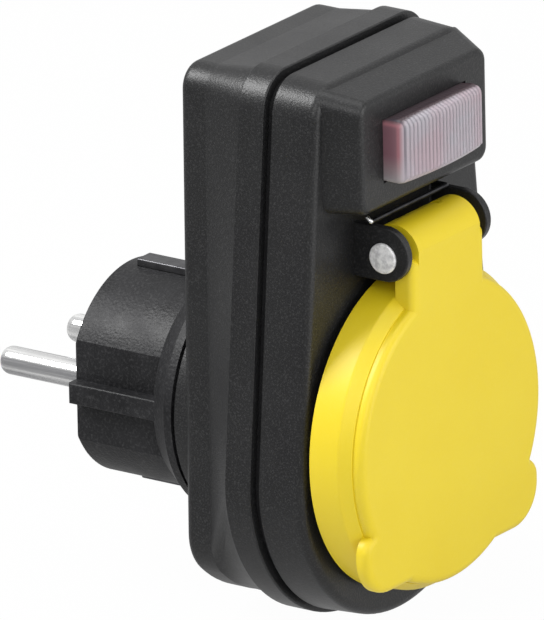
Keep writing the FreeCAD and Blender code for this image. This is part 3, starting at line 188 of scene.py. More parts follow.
def paintedCapLight():
    # painted light on a clear cap: the red rocker's glow painted onto its walls, with colours that change
    # with the depth and the height, painted shade on the top face, and painted shade in the lines where two
    # ribs meet
    group, given, out = newGroup("paintedCapLight", {
        "Colour": ("colour", (0.5, 0.5, 0.5, 1)), "Painted Rocker Glow": ("colour", (0.2, 0.2, 0.2, 1)),
        "Low Painted Glow": ("colour", (0.4, 0.4, 0.4, 1)), "Top Painted Shade": ("colour", (0.1, 0.1, 0.1, 1)),
        "Near": ("value", -0.0637), "Far": ("value", -0.0629), "Low": ("value", 0.0462),
        "High": ("value", 0.0505), "Top": ("value", 0.0558),
        "Groove Painted Shade": ("colour", (0.1, 0.1, 0.12, 1)), "Groove Painted Shade Share": ("value", 0.6),
        "Rib Start": ("value", -0.0109), "Rib Pitch": ("value", 0.00095)},
        {"Colour": "colour"})
    place = addNode(group, "ShaderNodeTexCoord").outputs["Object"]
    spot = addNode(group, "ShaderNodeSeparateXYZ", {0: place}).outputs
    # painted glow of the red rocker seen through the walls: paler low down, pinker higher up and deeper in
    rise = stretched(group, spot["Z"], given["Low"], given["High"], 0.0, 1.0)
    wall = mixed(group, rise, given["Low Painted Glow"], given["Painted Rocker Glow"])
    # painted shade: the top face turns dark
    crest = addNode(group, "ShaderNodeMath", {0: given["Top"], 1: 0.0005}, operation="ADD")
    topShadeShare = stretched(group, spot["Z"], given["Top"], crest.outputs[0], 0.0, 1.0)
    wall = mixed(group, topShadeShare, wall, given["Top Painted Shade"])
    share = stretched(group, spot["Y"], given["Near"], given["Far"], 0.0, 1.0)
    seen = mixed(group, share, given["Colour"], wall)
    # painted shade in the lines where two ribs meet, stronger higher up
    run = addNode(group, "ShaderNodeMath", {0: spot["X"], 1: given["Rib Start"]}, operation="SUBTRACT")
    count = addNode(group, "ShaderNodeMath", {0: run.outputs[0], 1: given["Rib Pitch"]}, operation="DIVIDE")
    swing = addNode(group, "ShaderNodeMath", {0: count.outputs[0], 1: 0.5}, operation="PINGPONG")
    valley = stretched(group, swing.outputs[0], 0.2, 0.02, 0.0, 1.0)
    ribbed = stretched(group, spot["Z"], given["Low"], given["High"], 0.35, 1.0)
    depth = addNode(group, "ShaderNodeMath", {0: valley, 1: ribbed}, operation="MULTIPLY")
    grooveShade = addNode(group, "ShaderNodeMath", {0: depth.outputs[0], 1: given["Groove Painted Shade Share"]},
                     operation="MULTIPLY")
    group.links.new(mixed(group, grooveShade.outputs[0], seen, given["Groove Painted Shade"]), out["Colour"])
    return group


effects = {"mouldedSkin": mouldedSkin(), "drawnMetal": drawnMetal(), "paintedCapLight": paintedCapLight()}


def finish(name, effect, looks, surface, bump, paintedLight=None):
    # a material from one effect group: looks go to the group, surface to the shader's own sockets
    material = bpy.data.materials.new(name)
    material.use_nodes = True
    tree = material.node_tree
    shader = tree.nodes["Principled BSDF"]
    group = addNode(tree, "ShaderNodeGroup", node_tree=effects[effect])
    for key, value in looks.items():
        group.inputs[key].default_value = value
    colour = group.outputs["Colour"]
    # an optional second layer lays painted glow and painted shade over the skin's colour
    if paintedLight:
        clear = addNode(tree, "ShaderNodeGroup", {"Colour": colour}, node_tree=effects["paintedCapLight"])
        for key, value in paintedLight.items():
            clear.inputs[key].default_value = value
        colour = clear.outputs["Colour"]
    tree.links.new(colour, shader.inputs["Base Color"])
    tree.links.new(group.outputs["Roughness"], shader.inputs["Roughness"])
    relief = addNode(tree, "ShaderNodeBump",
                     {"Height": group.outputs["Height"], "Strength": bump[0], "Distance": bump[1]})
    tree.links.new(relief.outputs[0], shader.inputs["Normal"])
    for key, value in surface.items():
        shader.inputs[key].default_value = value
    return material


def shade(red, green, blue):
    return (red, green, blue, 1.0)


plastics = {
    "housingBlack": {"Colour": shade(0.0095, 0.0096, 0.0102), "Drift Colour": shade(0.012, 0.0121, 0.0127),
                     "Drift Size": 70.0, "Grain Size": 3200.0, "Speck Amount": 0.034,
                     "Roughness": 0.38, "Roughness Spread": 0.05},
    "plugBlack": {"Colour": shade(0.008, 0.008, 0.009), "Drift Colour": shade(0.015, 0.015, 0.0165),
                  "Drift Size": 160.0, "Grain Size": 1900.0, "Speck Amount": 0.03,
                  "Roughness": 0.46, "Roughness Spread": 0.07},
    "sealBlack": {"Colour": shade(0.008, 0.008, 0.009), "Drift Colour": shade(0.011, 0.011, 0.012),
                  "Drift Size": 200.0, "Grain Size": 4000.0, "Speck Amount": 0.01,
                  "Roughness": 0.62, "Roughness Spread": 0.06},
    "lidYellow": {"Colour": shade(0.77, 0.595, 0.01), "Drift Colour": shade(0.755, 0.575, 0.007),
                  "Drift Size": 45.0, "Grain Size": 2600.0, "Speck Amount": 0.02,
                  "Roughness": 0.45, "Roughness Spread": 0.03},
    "capClear": {"Colour": shade(0.58, 0.56, 0.615), "Drift Colour": shade(0.61, 0.48, 0.535),
                 "Drift Size": 120.0, "Grain Size": 3000.0, "Speck Amount": 0.06,
                 "Roughness": 0.36, "Roughness Spread": 0.05},
    "rockerRed": {"Colour": shade(0.55, 0.012, 0.014), "Drift Colour": shade(0.48, 0.01, 0.012),
                  "Drift Size": 90.0, "Grain Size": 2600.0, "Speck Amount": 0.02,
                  "Roughness": 0.32, "Roughness Spread": 0.05},
    "insertBlack": {"Colour": shade(0.014, 0.014, 0.015), "Drift Colour": shade(0.019, 0.019, 0.02),
                    "Drift Size": 90.0, "Grain Size": 3200.0, "Speck Amount": 0.012,
                    "Roughness": 0.5, "Roughness Spread": 0.06},
    "innerWhite": {"Colour": shade(0.72, 0.71, 0.67), "Drift Colour": shade(0.66, 0.65, 0.6),
                   "Drift Size": 110.0, "Grain Size": 2600.0, "Speck Amount": 0.03,
                   "Roughness": 0.5, "Roughness Spread": 0.06},
}
plasticSurface = {
    "housingBlack": ({"Specular IOR Level": 0.4}, (0.7, 0.00005)),
    "plugBlack": ({"Specular IOR Level": 0.27}, (0.7, 0.00009)),
    "sealBlack": ({"Specular IOR Level": 0.3}, (0.4, 0.00003)),
    "lidYellow": ({"Specular IOR Level": 0.6}, (0.08, 0.00002)),
    "capClear": ({"Transmission Weight": 0.35, "IOR": 1.41}, (0.2, 0.00003)),
    "rockerRed": ({"Specular IOR Level": 0.5}, (0.15, 0.00003)),
    "insertBlack": ({"Specular IOR Level": 0.4}, (0.35, 0.00004)),
    "innerWhite": ({"Specular IOR Level": 0.4}, (0.25, 0.00004)),
}
metals = {
    "platedSteel": {"Colour": shade(0.78, 0.78, 0.77), "Dull And Reflected Colour": shade(0.68, 0.68, 0.68),
                    "Streak Stretch": (1, 0.06, 1), "Streak Size": 2200.0, "Patch Size": 420.0,
                    "Roughness": 0.24, "Roughness Spread": 0.06},
    # on the pins the dark second colour, pulled into long lines along them, paints dark streaks: painted
    # reflection of dark surroundings
    "pinNickel": {"Colour": shade(0.95, 0.95, 0.94), "Dull And Reflected Colour": shade(0.36, 0.36, 0.37),
                  "Streak Stretch": (1, 0.03, 1), "Streak Size": 1800.0, "Patch Stretch": (1, 0.02, 1),
                  "Patch Size": 620.0, "Roughness": 0.14, "Roughness Spread": 0.04},
    "pinSteel": {"Colour": shade(0.92, 0.92, 0.92), "Dull And Reflected Colour": shade(0.62, 0.62, 0.63),
                 "Streak Stretch": (1, 1, 1), "Streak Size": 1500.0, "Patch Size": 1100.0,
                 "Roughness": 0.5, "Roughness Spread": 0.08},
    "darkSteel": {"Colour": shade(0.13, 0.13, 0.135), "Dull And Reflected Colour": shade(0.09, 0.09, 0.095),
                  "Streak Stretch": (1, 0.06, 1), "Streak Size": 2200.0, "Patch Size": 420.0,
                  "Roughness": 0.42, "Roughness Spread": 0.08},
    "contactBrass": {"Colour": shade(0.78, 0.55, 0.2), "Dull And Reflected Colour": shade(0.62, 0.41, 0.15),
                     "Streak Stretch": (1, 0.08, 1), "Streak Size": 1800.0, "Patch Size": 260.0,
                     "Roughness": 0.33, "Roughness Spread": 0.09},
    # near black as painted shade for the lid spring's bar in the block's shadow; the plunger spring and the
    # lamp's electrodes share it
    "springSteel": {"Colour": shade(0.08, 0.08, 0.085), "Dull And Reflected Colour": shade(0.05, 0.05, 0.055),
                    "Streak Stretch": (0.1, 1, 1), "Streak Size": 2600.0, "Patch Size": 500.0,
                    "Roughness": 0.46, "Roughness Spread": 0.07},
}
# the cap's painted light: the red rocker's glow through the walls, painted shade on the top face and between
# the ribs
capPaintedLight = {"capClear": {"Painted Rocker Glow": shade(0.47, 0.2, 0.235), "Low Painted Glow": shade(0.5, 0.46, 0.47),
                          "Top Painted Shade": shade(0.12, 0.085, 0.095), "Near": -0.06345, "Far": -0.06275,
                          "Low": 0.0462, "High": 0.0505, "Top": 0.0557,
                          "Groove Painted Shade": shade(0.1, 0.095, 0.13), "Groove Painted Shade Share": 0.62,
                          "Rib Start": -0.010925, "Rib Pitch": 0.00095}}
metalShare = {"pinSteel": 0.25, "pinNickel": 0.7}
metalBump = (0.25, 0.00003)
materials = {}
for name, looks in plastics.items():
    surface, bump = plasticSurface[name]
    materials[name] = finish(name, "mouldedSkin", looks, surface, bump, capPaintedLight.get(name))
for name, looks in metals.items():
    materials[name] = finish(name, "drawnMetal", looks, {"Metallic": metalShare.get(name, 1.0)}, metalBump)
materials["lampGlass"] = finish("lampGlass", "mouldedSkin", {
    "Colour": shade(0.97, 0.98, 0.98), "Drift Colour": shade(0.95, 0.96, 0.97), "Drift Size": 120.0,
    "Grain Size": 900.0, "Speck Amount": 0.0, "Roughness": 0.05, "Roughness Spread": 0.02},
    {"Transmission Weight": 1.0, "IOR": 1.5}, (0.05, 0.00002))
print("materials ready:", len(materials))


# Piece helpers

def takePlace(piece, material, body, replaced=()):
    piece.data.materials.clear()
    piece.data.materials.append(materials[material])
    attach(piece, body)
    if replaced:
        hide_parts(*replaced)
    return piece


def linked(name, mesh):
    piece = bpy.data.objects.new(name, mesh)
    scene.collection.objects.link(piece)
    return piece


def smoothFaces(mesh):
    mesh.polygons.foreach_set("use_smooth", [True] * len(mesh.polygons))


def meshFrom(name, shape):
    # shape is a bmesh that is no longer needed
    bmesh.ops.recalc_face_normals(shape, faces=shape.faces)
    mesh = bpy.data.meshes.new(name)
    shape.to_mesh(mesh)
    shape.free()
    smoothFaces(mesh)
    return mesh


def addNormals(piece):
    leaning = piece.modifiers.new("evenNormals", "WEIGHTED_NORMAL")
    leaning.mode = "FACE_AREA_WITH_ANGLE"
    leaning.keep_sharp = True


softening = {"weld": 0.000002, "flat": 0.05, "sharp": 28.0, "segments": 3}


def softened(node, name, radius):
    # the node's own shape with its sharp edges rounded, radius in mm
    shape = bmesh.new()
    shape.from_mesh(cadNodes[node].data)
    bmesh.ops.remove_doubles(shape, verts=shape.verts, dist=softening["weld"])
    bmesh.ops.dissolve_limit(shape, angle_limit=math.radians(softening["flat"]), verts=shape.verts,
                             edges=shape.edges)
    weights = shape.edges.layers.float.new("bevel_weight_edge")
    for edge in shape.edges:
        if len(edge.link_faces) == 2 and edge.calc_face_angle(0) >= math.radians(softening["sharp"]):
            edge[weights] = 1.0
    mesh = bpy.data.meshes.new(name)
    shape.to_mesh(mesh)
    shape.free()
    for spare in ("custom_normal", "sharp_face", "sharp_edge"):
        if spare in mesh.attributes:
            mesh.attributes.remove(mesh.attributes[spare])
    smoothFaces(mesh)
    piece = linked(name, mesh)
    soften = piece.modifiers.new("softEdges", "BEVEL")
    soften.width = radius / 1000
    soften.segments = softening["segments"]
    soften.limit_method = "WEIGHT"
    soften.use_clamp_overlap = False
    soften.miter_outer = "MITER_ARC"
    addNormals(piece)
    return piece


needle = 0.05      # mm, the radius where a turned shape closes on its axis
seam = 0.02        # mm, the distance between two rings that keep an inner corner crisp
coilSteps = 12     # points of a coil in each turn


def lathed(name, profile, middle, axis, steps=72):
    # profile holds (distance along the axis, radius) in mm; axis is "x", "depth" or "up"
    shape = bmesh.new()
    x, depth, z = middle
    rings = []
    for reach, radius in profile:
        ring = []
        for step in range(steps):
            angle = 2 * math.pi * step / steps
            a, b = radius * math.cos(angle), radius * math.sin(angle)
            spot = {"x": (x + reach, depth + a, z + b), "depth": (x + a, depth + reach, z + b),
                    "up": (x + a, depth + b, z + reach)}[axis]
            ring.append(shape.verts.new(at(*spot)))
        rings.append(ring)
    for first, second in zip(rings, rings[1:]):
        for step in range(steps):
            ahead = (step + 1) % steps
            shape.faces.new((first[step], first[ahead], second[ahead], second[step]))
    shape.faces.new(rings[0])
    shape.faces.new(rings[-1])
    return linked(name, meshFrom(name, shape))


def arc(centre, radius, start, end, steps):
    # points of a circle in the profile plane, angles in degrees
    points = []
    for step in range(steps + 1):
        angle = math.radians(start + (end - start) * step / steps)
        points.append((centre[0] + radius * math.cos(angle), centre[1] + radius * math.sin(angle)))
    return points


def wire(name, points, thickness):
    # a round wire along a smooth line through the places in points
    curve = bpy.data.curves.new(name, "CURVE")
    curve.dimensions = "3D"
    curve.bevel_depth = thickness / 2000
    curve.bevel_resolution = 4
    curve.resolution_u = 6
    curve.use_fill_caps = True
    line = curve.splines.new("NURBS")
    line.points.add(len(points) - 1)
    for spot, place in zip(line.points, points):
        spot.co = (*place, 1.0)
    line.order_u = 3
    line.use_endpoint_u = True
    piece = bpy.data.objects.new(name, curve)
    scene.collection.objects.link(piece)
    return piece


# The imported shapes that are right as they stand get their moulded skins
plainNodes = {"rear_shell": "housingBlack", "front_shell": "housingBlack", "plug_body": "plugBlack",
              "lid": "lidYellow", "shell_seal": "sealBlack", "lid_seal": "sealBlack",
              "plug_seal": "sealBlack", "socket_insert": "insertBlack"}
for node, material in plainNodes.items():
    for place in cadNodes[node].material_slots:
        place.material = materials[material]
print("housing, plug and lid ready")


# The stamped and small moulded pieces get softer edges
softPieces = {
    "plug_earth_contacts": {"name": "plugEarthContacts", "material": "darkSteel", "radius": 0.25},
    "socket_earth_clips": {"name": "socketEarthClips", "material": "platedSteel", "radius": 0.2},
    "earth_strap": {"name": "earthStrap", "material": "contactBrass", "radius": 0.15},
    "line_contact": {"name": "lineContact", "material": "contactBrass", "radius": 0.15},
    "neutral_contact": {"name": "neutralContact", "material": "contactBrass", "radius": 0.15},
    "neutral_link": {"name": "neutralLink", "material": "contactBrass", "radius": 0.15},
    "live_lead_in": {"name": "liveLeadIn", "material": "contactBrass", "radius": 0.15},
    "live_lead_out": {"name": "liveLeadOut", "material": "contactBrass", "radius": 0.15},
    "pivot_terminal": {"name": "pivotTerminal", "material": "contactBrass", "radius": 0.15},
    "fixed_contact": {"name": "fixedContact", "material": "contactBrass", "radius": 0.12},
    "contact_blade": {"name": "contactBlade", "material": "contactBrass",
                      "radius": 0.12, "body": "contact_blade"},
    "boot_frame": {"name": "bootFrame", "material": "innerWhite", "radius": 0.2},
    "switch_housing": {"name": "switchHousing", "material": "innerWhite", "radius": 0.2},
    "rocker": {"name": "rockerPaddle", "material": "rockerRed", "radius": 0.3, "body": "rocker"},
    "plunger": {"name": "plungerRod", "material": "innerWhite", "radius": 0.15, "body": "rocker"},
    "case_screws": {"name": "caseScrews", "material": "pinSteel", "radius": 0.12},
}
for node, look in softPieces.items():
    piece = softened(node, look["name"], look["radius"])
    takePlace(piece, look["material"], look.get("body", "housing"), [node])
print("inner pieces ready")


# Mains pins: a drawn rod with a rounded tip, thicker root and riveted head
pinLook = {"radius": 2.4, "tip": -19.0, "tipFlat": 1.0, "tipLength": 1.7, "root": 2.6, "rootEnd": 12.3,
           "head": 3.3, "headDepth": 1.2, "headBack": 0.15, "headFront": 0.4, "spacing": 19.0}


def mainsPin(name, x):
    look = pinLook
    profile = [(look["tip"], needle), (look["tip"], look["tipFlat"] * 0.7)]
    reach = look["radius"] - look["tipFlat"]
    for step in range(9):
        angle = math.pi / 2 * step / 8
        profile.append((look["tip"] + look["tipLength"] * (1 - math.cos(angle)),
                        look["tipFlat"] + reach * math.sin(angle)))
    profile += [(-seam, look["radius"]), (0.0, look["radius"]), (0.0, look["root"]), (seam, look["root"])]
    end, back, front = look["rootEnd"] + look["headDepth"], look["headBack"], look["headFront"]
    profile += [(look["rootEnd"] - seam, look["root"]), (look["rootEnd"], look["root"])]
    profile += arc((look["rootEnd"] + back, look["head"] - back), back, 180, 90, 3)
    profile += arc((end - front, look["head"] - front), front, 90, 0, 5)
    profile += [(end, needle)]
    piece = lathed(name, profile, (x, 0, 0), "depth")
    addNormals(piece)
    return piece


for node, name, side in (("line_pin", "linePin", -1), ("neutral_pin", "neutralPin", 1)):
    takePlace(mainsPin(name, side * pinLook["spacing"] / 2), "pinNickel", "housing", [node])


# Hinge pin: a low domed head at the left ear, a peened tail at the right
hingeLook = {"depth": 59.55, "height": 32.5, "radius": 1.5, "ear": 12.05, "headEnd": 12.65, "head": 2.6,
             "headRound": 0.3, "dome": 0.12, "tail": 2.2, "tailStep": 0.1, "tailRound": 0.35}


def hingePin():
    look = hingeLook
    end, ear, radius = look["headEnd"], look["ear"], look["radius"]
    head, tail = look["headRound"], look["tailRound"]
    profile = [(-end, needle)]
    for step in range(1, 7):
        share = step / 6
        profile.append((-end + look["dome"] * share ** 2, (look["head"] - head) * share))
    profile += arc((-end + head + look["dome"], look["head"] - head), head, 165, 90, 4)
    profile += [(-ear, look["head"]), (-ear, radius), (-ear + seam, radius), (ear - seam, radius),
                (ear, radius), (ear, look["tail"] - look["tailStep"])]
    profile += arc((end - tail, look["tail"] - tail), tail, 90, 0, 5)
    profile += [(end, needle)]
    piece = lathed("hingePin", profile, (0, look["depth"], look["height"]), "x")
    addNormals(piece)
    return piece


takePlace(hingePin(), "pinSteel", "housing", ["hinge_pin"])


# Lid spring: a coil on the hinge pin, one leg down into the face and round to a bar above the lid's neck
springLook = {"radius": 2.35, "wire": 0.8, "coilHalf": 4.6, "turns": 11, "legX": 4.6, "legBack": 53.4,
              "footX": 10.1, "barDepth": 57.0, "barHeight": 38.3, "barEnd": -11.9, "corner": 0.7,
              "legStart": 1.5, "barRise": 0.2,
              "tip": ((-11.85, 57.2, 38.3), (-12.3, 57.55, 38.4), (-12.45, 57.2, 38.8),
                      (-12.45, 56.7, 39.2))}


def lidSpring():
    look = springLook
    depth, height = hingeLook["depth"], hingeLook["height"]
    points = []
    steps = look["turns"] * coilSteps
    for step in range(steps + 1):
        angle = 2 * math.pi * step / coilSteps - math.pi / 2
        x = -look["coilHalf"] + 2 * look["coilHalf"] * step / steps
        points.append(at(x, depth + look["radius"] * math.cos(angle),
                         height + look["radius"] * math.sin(angle)))
    low, r = height - look["radius"], look["corner"]
    legX, back, footX = look["legX"], look["legBack"], look["footX"]
    bar, top = look["barDepth"], look["barHeight"]
    route = [(legX, depth - look["legStart"], low), (legX, back + r, low), (legX, back, low),
             (legX + r, back, low), (footX - r, back, low), (footX, back, low), (footX, back, low + r),
             (footX, back, top - r), (footX, back, top), (footX, back + r, top), (footX, bar - r, top),
             (footX, bar, top), (footX - r, bar, top), (look["barEnd"] + r, bar, top),
             (look["barEnd"], bar + look["barRise"], top)]
    points += [at(*spot) for spot in route]
    return wire("lidSpring", points, look["wire"])


# the spring's near-black steel is painted shade on the bar that lies in the block's shadow
takePlace(lidSpring(), "springSteel", "housing", ["lid_spring"])
# the hooked end is a second wire in bright plated steel: a painted glint
glintTipPoints = [at(*spot) for spot in springLook["tip"]]
takePlace(wire("lidSpringGlintTip", glintTipPoints, springLook["wire"]), "platedSteel", "housing")


# Plunger spring inside the rocker
coilLook = {"radius": 1.1, "wire": 0.4, "turns": 6, "back": 0.2, "front": 4.6, "pivotDepth": 54.2,
            "height": 50.85, "tilt": -6.0}


def plungerSpring():
    look = coilLook
    tilt = math.radians(look["tilt"])
    points = []
    steps = look["turns"] * coilSteps
    for step in range(steps + 1):
        angle = 2 * math.pi * step / coilSteps
        along = look["back"] + (look["front"] - look["back"]) * step / steps
        x = look["radius"] * math.cos(angle)
        turnedX = x * math.cos(tilt) + along * math.sin(tilt)
        turnedDepth = along * math.cos(tilt) - x * math.sin(tilt)
        points.append(at(turnedX, look["pivotDepth"] + turnedDepth,
                         look["height"] + look["radius"] * math.sin(angle)))
    return wire("plungerSpring", points, look["wire"])


takePlace(plungerSpring(), "springSteel", "rocker", ["plunger_spring"])
print("pins and springs ready")


# Switch cap: a thin ribbed moulding with rounded edges and a flange behind the block's window
capLook = {"half": 11.8, "low": 45.5, "high": 56.2, "front": 64.3, "back": 57.4, "dome": 1.0, "edge": 1.1,
           "ribPitch": 0.95, "ribCount": 23, "ribHeight": 0.4, "ribLow": 46.3,
           "sideShare": 1.6, "topZone": 2.2, "ribDepth": 4.0,
           "wall": 0.85, "flange": 1.2, "flangeBack": 57.0, "flangeFront": 57.75,
           "flangeEdge": 0.2}


def spread(low, high, edge, count):
    # places between low and high, closer together in the rounded zones at both ends
    dense = 5
    places = [low + edge * (1 - math.cos(math.pi / 2 * step / dense)) for step in range(dense)]
    inner = [low + edge + (high - low - 2 * edge) * step / count for step in range(count + 1)]
    mirrored = [low + high - place for place in reversed(places)]
    return places + inner + mirrored


def ribAt(x):
    # height of the half-round ribs across the cap, in mm
    look = capLook
    reach = look["ribCount"] / 2 * look["ribPitch"]
    if abs(x) > reach:
        return 0.0
    phase = ((x + reach) / look["ribPitch"]) % 1.0 * 2 - 1
    return look["ribHeight"] * math.sqrt(max(0.0, 1 - phase * phase))


def switchCap():
    look = capLook
    half, low, high, edge = look["half"], look["low"], look["high"], look["edge"]
    reach = look["ribCount"] / 2 * look["ribPitch"]
    perRib = 8
    ribbed = [-reach + look["ribPitch"] * step / perRib for step in range(look["ribCount"] * perRib + 1)]
    ends = [half - (half - reach) * step / 4 for step in range(4)]
    columns = sorted(ribbed + ends + [-value for value in ends])
    rows = spread(low, high, edge, 14)
    shape = bmesh.new()
    grid = {}

    def pressed(x, depth, z):
        # rounds the edges of the box, domes its front and raises the ribs
        front = look["front"] - look["dome"] * (x / half) ** 2
        depth = min(depth, front)
        core = Vector((max(-half + edge, min(half - edge, x)), min(depth, front - edge),
                       max(low + edge, min(high - edge, z))))
        away = Vector((x, depth, z)) - core
        away = away.normalized() if away.length > 1e-6 else Vector((0, 1, 0))
        forward = max(0.0, away.y)
        rise = max(0.0, away.z)
        share = min(1.0, forward * look["sideShare"] + rise * (depth > front - look["topZone"]))
        if z < look["ribLow"]:
            share = 0.0
        lift = ribAt(x) * share if depth > look["front"] - look["ribDepth"] else 0.0
        return core + away * (edge + lift)

    depths = [look["back"] + (look["front"] - edge - look["back"]) * step / 6 for step in range(6)]
    depths += [look["front"] - edge - seam]

    def spot(x, depth, z):
        key = (round(x, 4), round(depth, 4), round(z, 4))
        if key not in grid:
            grid[key] = shape.verts.new(at(*pressed(x, depth, z)))
        return grid[key]

    tip = look["front"] + 1
    spans = list(zip(depths, depths[1:] + [tip]))
    for left, right in zip(columns, columns[1:]):
        for bottom, top in zip(rows, rows[1:]):
            shape.faces.new((spot(left, tip, bottom), spot(right, tip, bottom), spot(right, tip, top),
                             spot(left, tip, top)))
        for near, far in spans:
            for z in (low, high):
                shape.faces.new((spot(left, near, z), spot(right, near, z), spot(right, far, z),
                                 spot(left, far, z)))
    for bottom, top in zip(rows, rows[1:]):
        for near, far in spans:
            for x in (columns[0], columns[-1]):
                shape.faces.new((spot(x, near, bottom), spot(x, near, top), spot(x, far, top),
                                 spot(x, far, bottom)))
    piece = linked("switchCap", meshFrom("switchCap", shape))
    wall = piece.modifiers.new("wall", "SOLIDIFY")
    wall.thickness = look["wall"] / 1000
    wall.offset = -1
    return piece


def bandRing(name, outer, inner, depth):
    # a flat rectangular ring; outer and inner hold (half width, low, high)
    shape = bmesh.new()
    corners = []
    for place in depth:
        for half, low, high in (outer, inner):
            corners.append([shape.verts.new(at(x, place, z))
                            for x, z in ((-half, low), (half, low), (half, high), (-half, high))])
    for first, second in ((0, 1), (2, 3), (0, 2), (1, 3)):
        for side in range(4):
            ahead = (side + 1) % 4
            shape.faces.new((corners[first][side], corners[first][ahead], corners[second][ahead],
                             corners[second][side]))
    piece = linked(name, meshFrom(name, shape))
    soften = piece.modifiers.new("softEdges", "BEVEL")
    soften.width = capLook["flangeEdge"] / 1000
    soften.segments = softening["segments"]
    addNormals(piece)
    return piece


takePlace(switchCap(), "capClear", "housing", ["switch_boot"])
flange = bandRing("switchCapFlange",
                  (capLook["half"] + capLook["flange"], capLook["low"] - capLook["flange"],
                   capLook["high"] + capLook["flange"]),
                  (capLook["half"] - capLook["wall"], capLook["low"] + capLook["wall"],
                   capLook["high"] - capLook["wall"]),
                  (capLook["flangeBack"], capLook["flangeFront"]))
takePlace(flange, "capClear", "housing")
print("switch cap ready")


# Indicator: a glass capsule with two electrodes, and a resistor beside it
lampLook = {"x": 6.3, "depth": 52.6, "low": 45.6, "high": 56.0, "radius": 1.45, "stem": 0.25, "gap": 0.45,
            "stemHeights": (45.6, 47.3, 49.3, 51.8), "stemTop": 53.7, "lean": 0.1, "steps": 40,
            "footFlat": 0.8, "foot": 0.4, "footEdge": 0.3}
resistorLook = {"depth": 49.4, "low": 47.85, "high": 53.85, "cap": 1.0, "waist": 0.86, "lead": 0.28,
                "leadLength": 2.2}


def neonLamp():
    look = lampLook
    radius = look["radius"]
    foot, edge = look["foot"], look["footEdge"]
    profile = [(look["low"], 0.1), (look["low"], radius * look["footFlat"])]
    profile += [(look["low"] + foot - foot * math.cos(math.radians(a)),
                 radius - edge + edge * math.sin(math.radians(a))) for a in (20, 45, 70, 90)]
    for step in range(9):
        angle = math.pi / 2 * step / 8
        profile.append((look["high"] - radius + radius * math.sin(angle) * 0.98,
                        max(0.08, radius * math.cos(angle))))
    profile.append((look["high"] + 0.1, needle))
    return lathed("neonLamp", profile, (look["x"], look["depth"], 0), "up", look["steps"])


takePlace(neonLamp(), "lampGlass", "housing", ["neon_lamp"])
for side, name in ((-1, "lampElectrodeLeft"), (1, "lampElectrodeRight")):
    x = lampLook["x"] + side * lampLook["gap"]
    stem = [at(x, lampLook["depth"], z) for z in lampLook["stemHeights"]]
    stem.append(at(x - side * lampLook["lean"], lampLook["depth"], lampLook["stemTop"]))
    takePlace(wire(name, stem, lampLook["stem"] * 2), "springSteel", "housing")


def resistorBody():
    look = resistorLook
    low, high = look["low"], look["high"]
    bottom, top = low - look["leadLength"], high + look["leadLength"]
    profile = [(bottom, needle), (bottom, look["lead"]), (low - seam, look["lead"]), (low, look["lead"])]
    outline = [(0.0, 0.6), (0.12, 0.88), (0.4, 1.0), (1.1, 1.0), (1.5, 0.9), (1.8, look["waist"])]
    profile += [(low + rise, radius * look["cap"]) for rise, radius in outline]
    profile += [(high - rise, radius * look["cap"]) for rise, radius in reversed(outline)]
    profile += [(high, look["lead"]), (high + seam, look["lead"]), (top, look["lead"]), (top, needle)]
    return lathed("lampResistor", profile, (lampLook["x"], look["depth"], 0), "up", lampLook["steps"])


takePlace(resistorBody(), "innerWhite", "housing", ["lamp_resistor"])
print("indicator ready")


# Stage: a pale floor in a white surround, and soft studio lamps. What the glossy surfaces see of the
# floor and of the surround grows dimmer towards the left.
stageLook = {"floorRadius": 0.45, "floor": (0.62, 0.62, 0.62, 1.0), "shadow": 0.98, "surround": 0.42,
             "mirrorAxis": (0.62, -0.2, 0.76), "mirrorLow": -0.4, "mirrorHigh": 0.75, "mirrorDim": 0.4,
             "mirrorBright": 0.78, "floorAxis": (0.8, -0.6, 0.0), "floorLow": -0.12, "floorHigh": 0.12,
             "floorDim": 0.4, "floorBright": 0.8, "lampAim": (0, 40, 10)}


def along(tree, place, axis, low, high, dim, bright):
    # a value that grows with the place along an axis
    share = addNode(tree, "ShaderNodeVectorMath", {0: place, 1: axis}, operation="DOT_PRODUCT")
    return stretched(tree, share.outputs["Value"], low, high, dim, bright)


def clearSight(tree):
    # 1 for what the camera sees, straight or through glass
    path = addNode(tree, "ShaderNodeLightPath")
    seen = addNode(tree, "ShaderNodeMath", {0: path.outputs["Is Camera Ray"],
                                            1: path.outputs["Is Transmission Ray"]}, operation="MAXIMUM")
    return seen.outputs[0], path.outputs["Is Glossy Ray"]


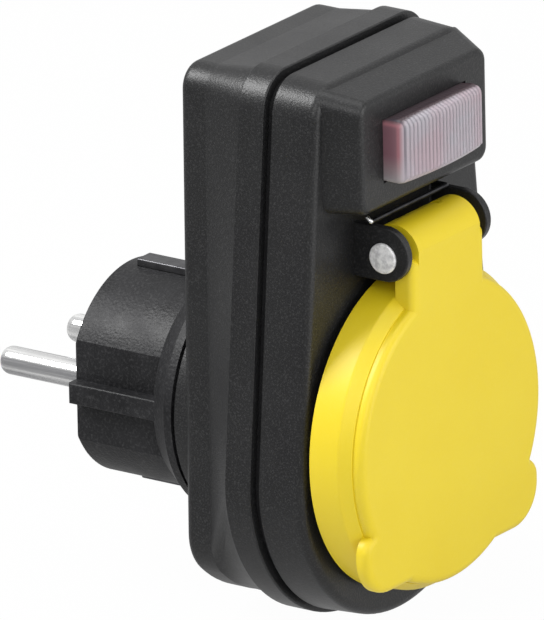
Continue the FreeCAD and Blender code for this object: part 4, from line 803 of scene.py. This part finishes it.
def makeFloor():
    look = stageLook
    shape = bmesh.new()
    bmesh.ops.create_circle(shape, cap_ends=True, segments=96, radius=look["floorRadius"])
    floor = linked("studioFloor", meshFrom("studioFloor", shape))
    floor.location.z = cadBox[0][2] - 0.0002
    material = bpy.data.materials.new("floorWhite")
    material.use_nodes = True
    tree = material.node_tree
    shader = tree.nodes["Principled BSDF"]
    shader.inputs["Base Color"].default_value = look["floor"]
    shader.inputs["Roughness"].default_value = 0.9
    shader.inputs["Specular IOR Level"].default_value = 0.0
    seen, mirrored = clearSight(tree)
    place = addNode(tree, "ShaderNodeTexCoord").outputs["Object"]
    mirror = along(tree, place, look["floorAxis"], look["floorLow"], look["floorHigh"], look["floorDim"],
                   look["floorBright"])
    strength = addNode(tree, "ShaderNodeMix", {0: mirrored, 2: 1.0, 3: mirror}, data_type="FLOAT").outputs[0]
    glow = addNode(tree, "ShaderNodeEmission", {"Color": (1, 1, 1, 1), "Strength": strength})
    kept = addNode(tree, "ShaderNodeMath", {0: seen, 1: look["shadow"]}, operation="MULTIPLY")
    share = addNode(tree, "ShaderNodeMath", {0: kept.outputs[0], 1: mirrored}, operation="MAXIMUM")
    blend = addNode(tree, "ShaderNodeMixShader",
                    {0: share.outputs[0], 1: shader.outputs[0], 2: glow.outputs[0]})
    tree.links.new(blend.outputs[0], tree.nodes["Material Output"].inputs["Surface"])
    floor.data.materials.append(material)


def makeSurround():
    look = stageLook
    world = bpy.data.worlds.new("studioSurround")
    world.use_nodes = True
    scene.world = world
    tree = world.node_tree
    seen, mirrored = clearSight(tree)
    direction = addNode(tree, "ShaderNodeTexCoord").outputs["Generated"]
    mirror = along(tree, direction, look["mirrorAxis"], look["mirrorLow"], look["mirrorHigh"],
                   look["mirrorDim"], look["mirrorBright"])
    plain = stretched(tree, seen, 0.0, 1.0, look["surround"], 1.0)
    strength = addNode(tree, "ShaderNodeMix", {0: mirrored, 2: plain, 3: mirror}, data_type="FLOAT")
    backdrop = tree.nodes["Background"]
    backdrop.inputs["Color"].default_value = (1, 1, 1, 1)
    tree.links.new(strength.outputs[0], backdrop.inputs["Strength"])


lamps = {
    "keyLamp": {"place": (-520, 380, 380), "size": 0.4, "watts": 1.25},
    "frontLamp": {"place": (80, 680, 170), "size": 0.5, "watts": 1.95},
    "topLamp": {"place": (0, 120, 700), "size": 0.5, "watts": 1.4},
    "cornerLamp": {"place": (-400, -480, 700), "size": 0.38, "watts": 8.5},
}


def makeLamps():
    aim = at(*stageLook["lampAim"])
    for name, look in lamps.items():
        light = bpy.data.lights.new(name, "AREA")
        light.shape = "SQUARE"
        light.size = look["size"]
        light.energy = look["watts"]
        lamp = bpy.data.objects.new(name, light)
        scene.collection.objects.link(lamp)
        lamp.location = at(*look["place"])
        lamp.rotation_euler = (aim - lamp.location).to_track_quat("-Z", "Y").to_euler()


makeFloor()
makeSurround()
makeLamps()
scene.view_settings.view_transform = "Standard"
print("stage and lamps ready")
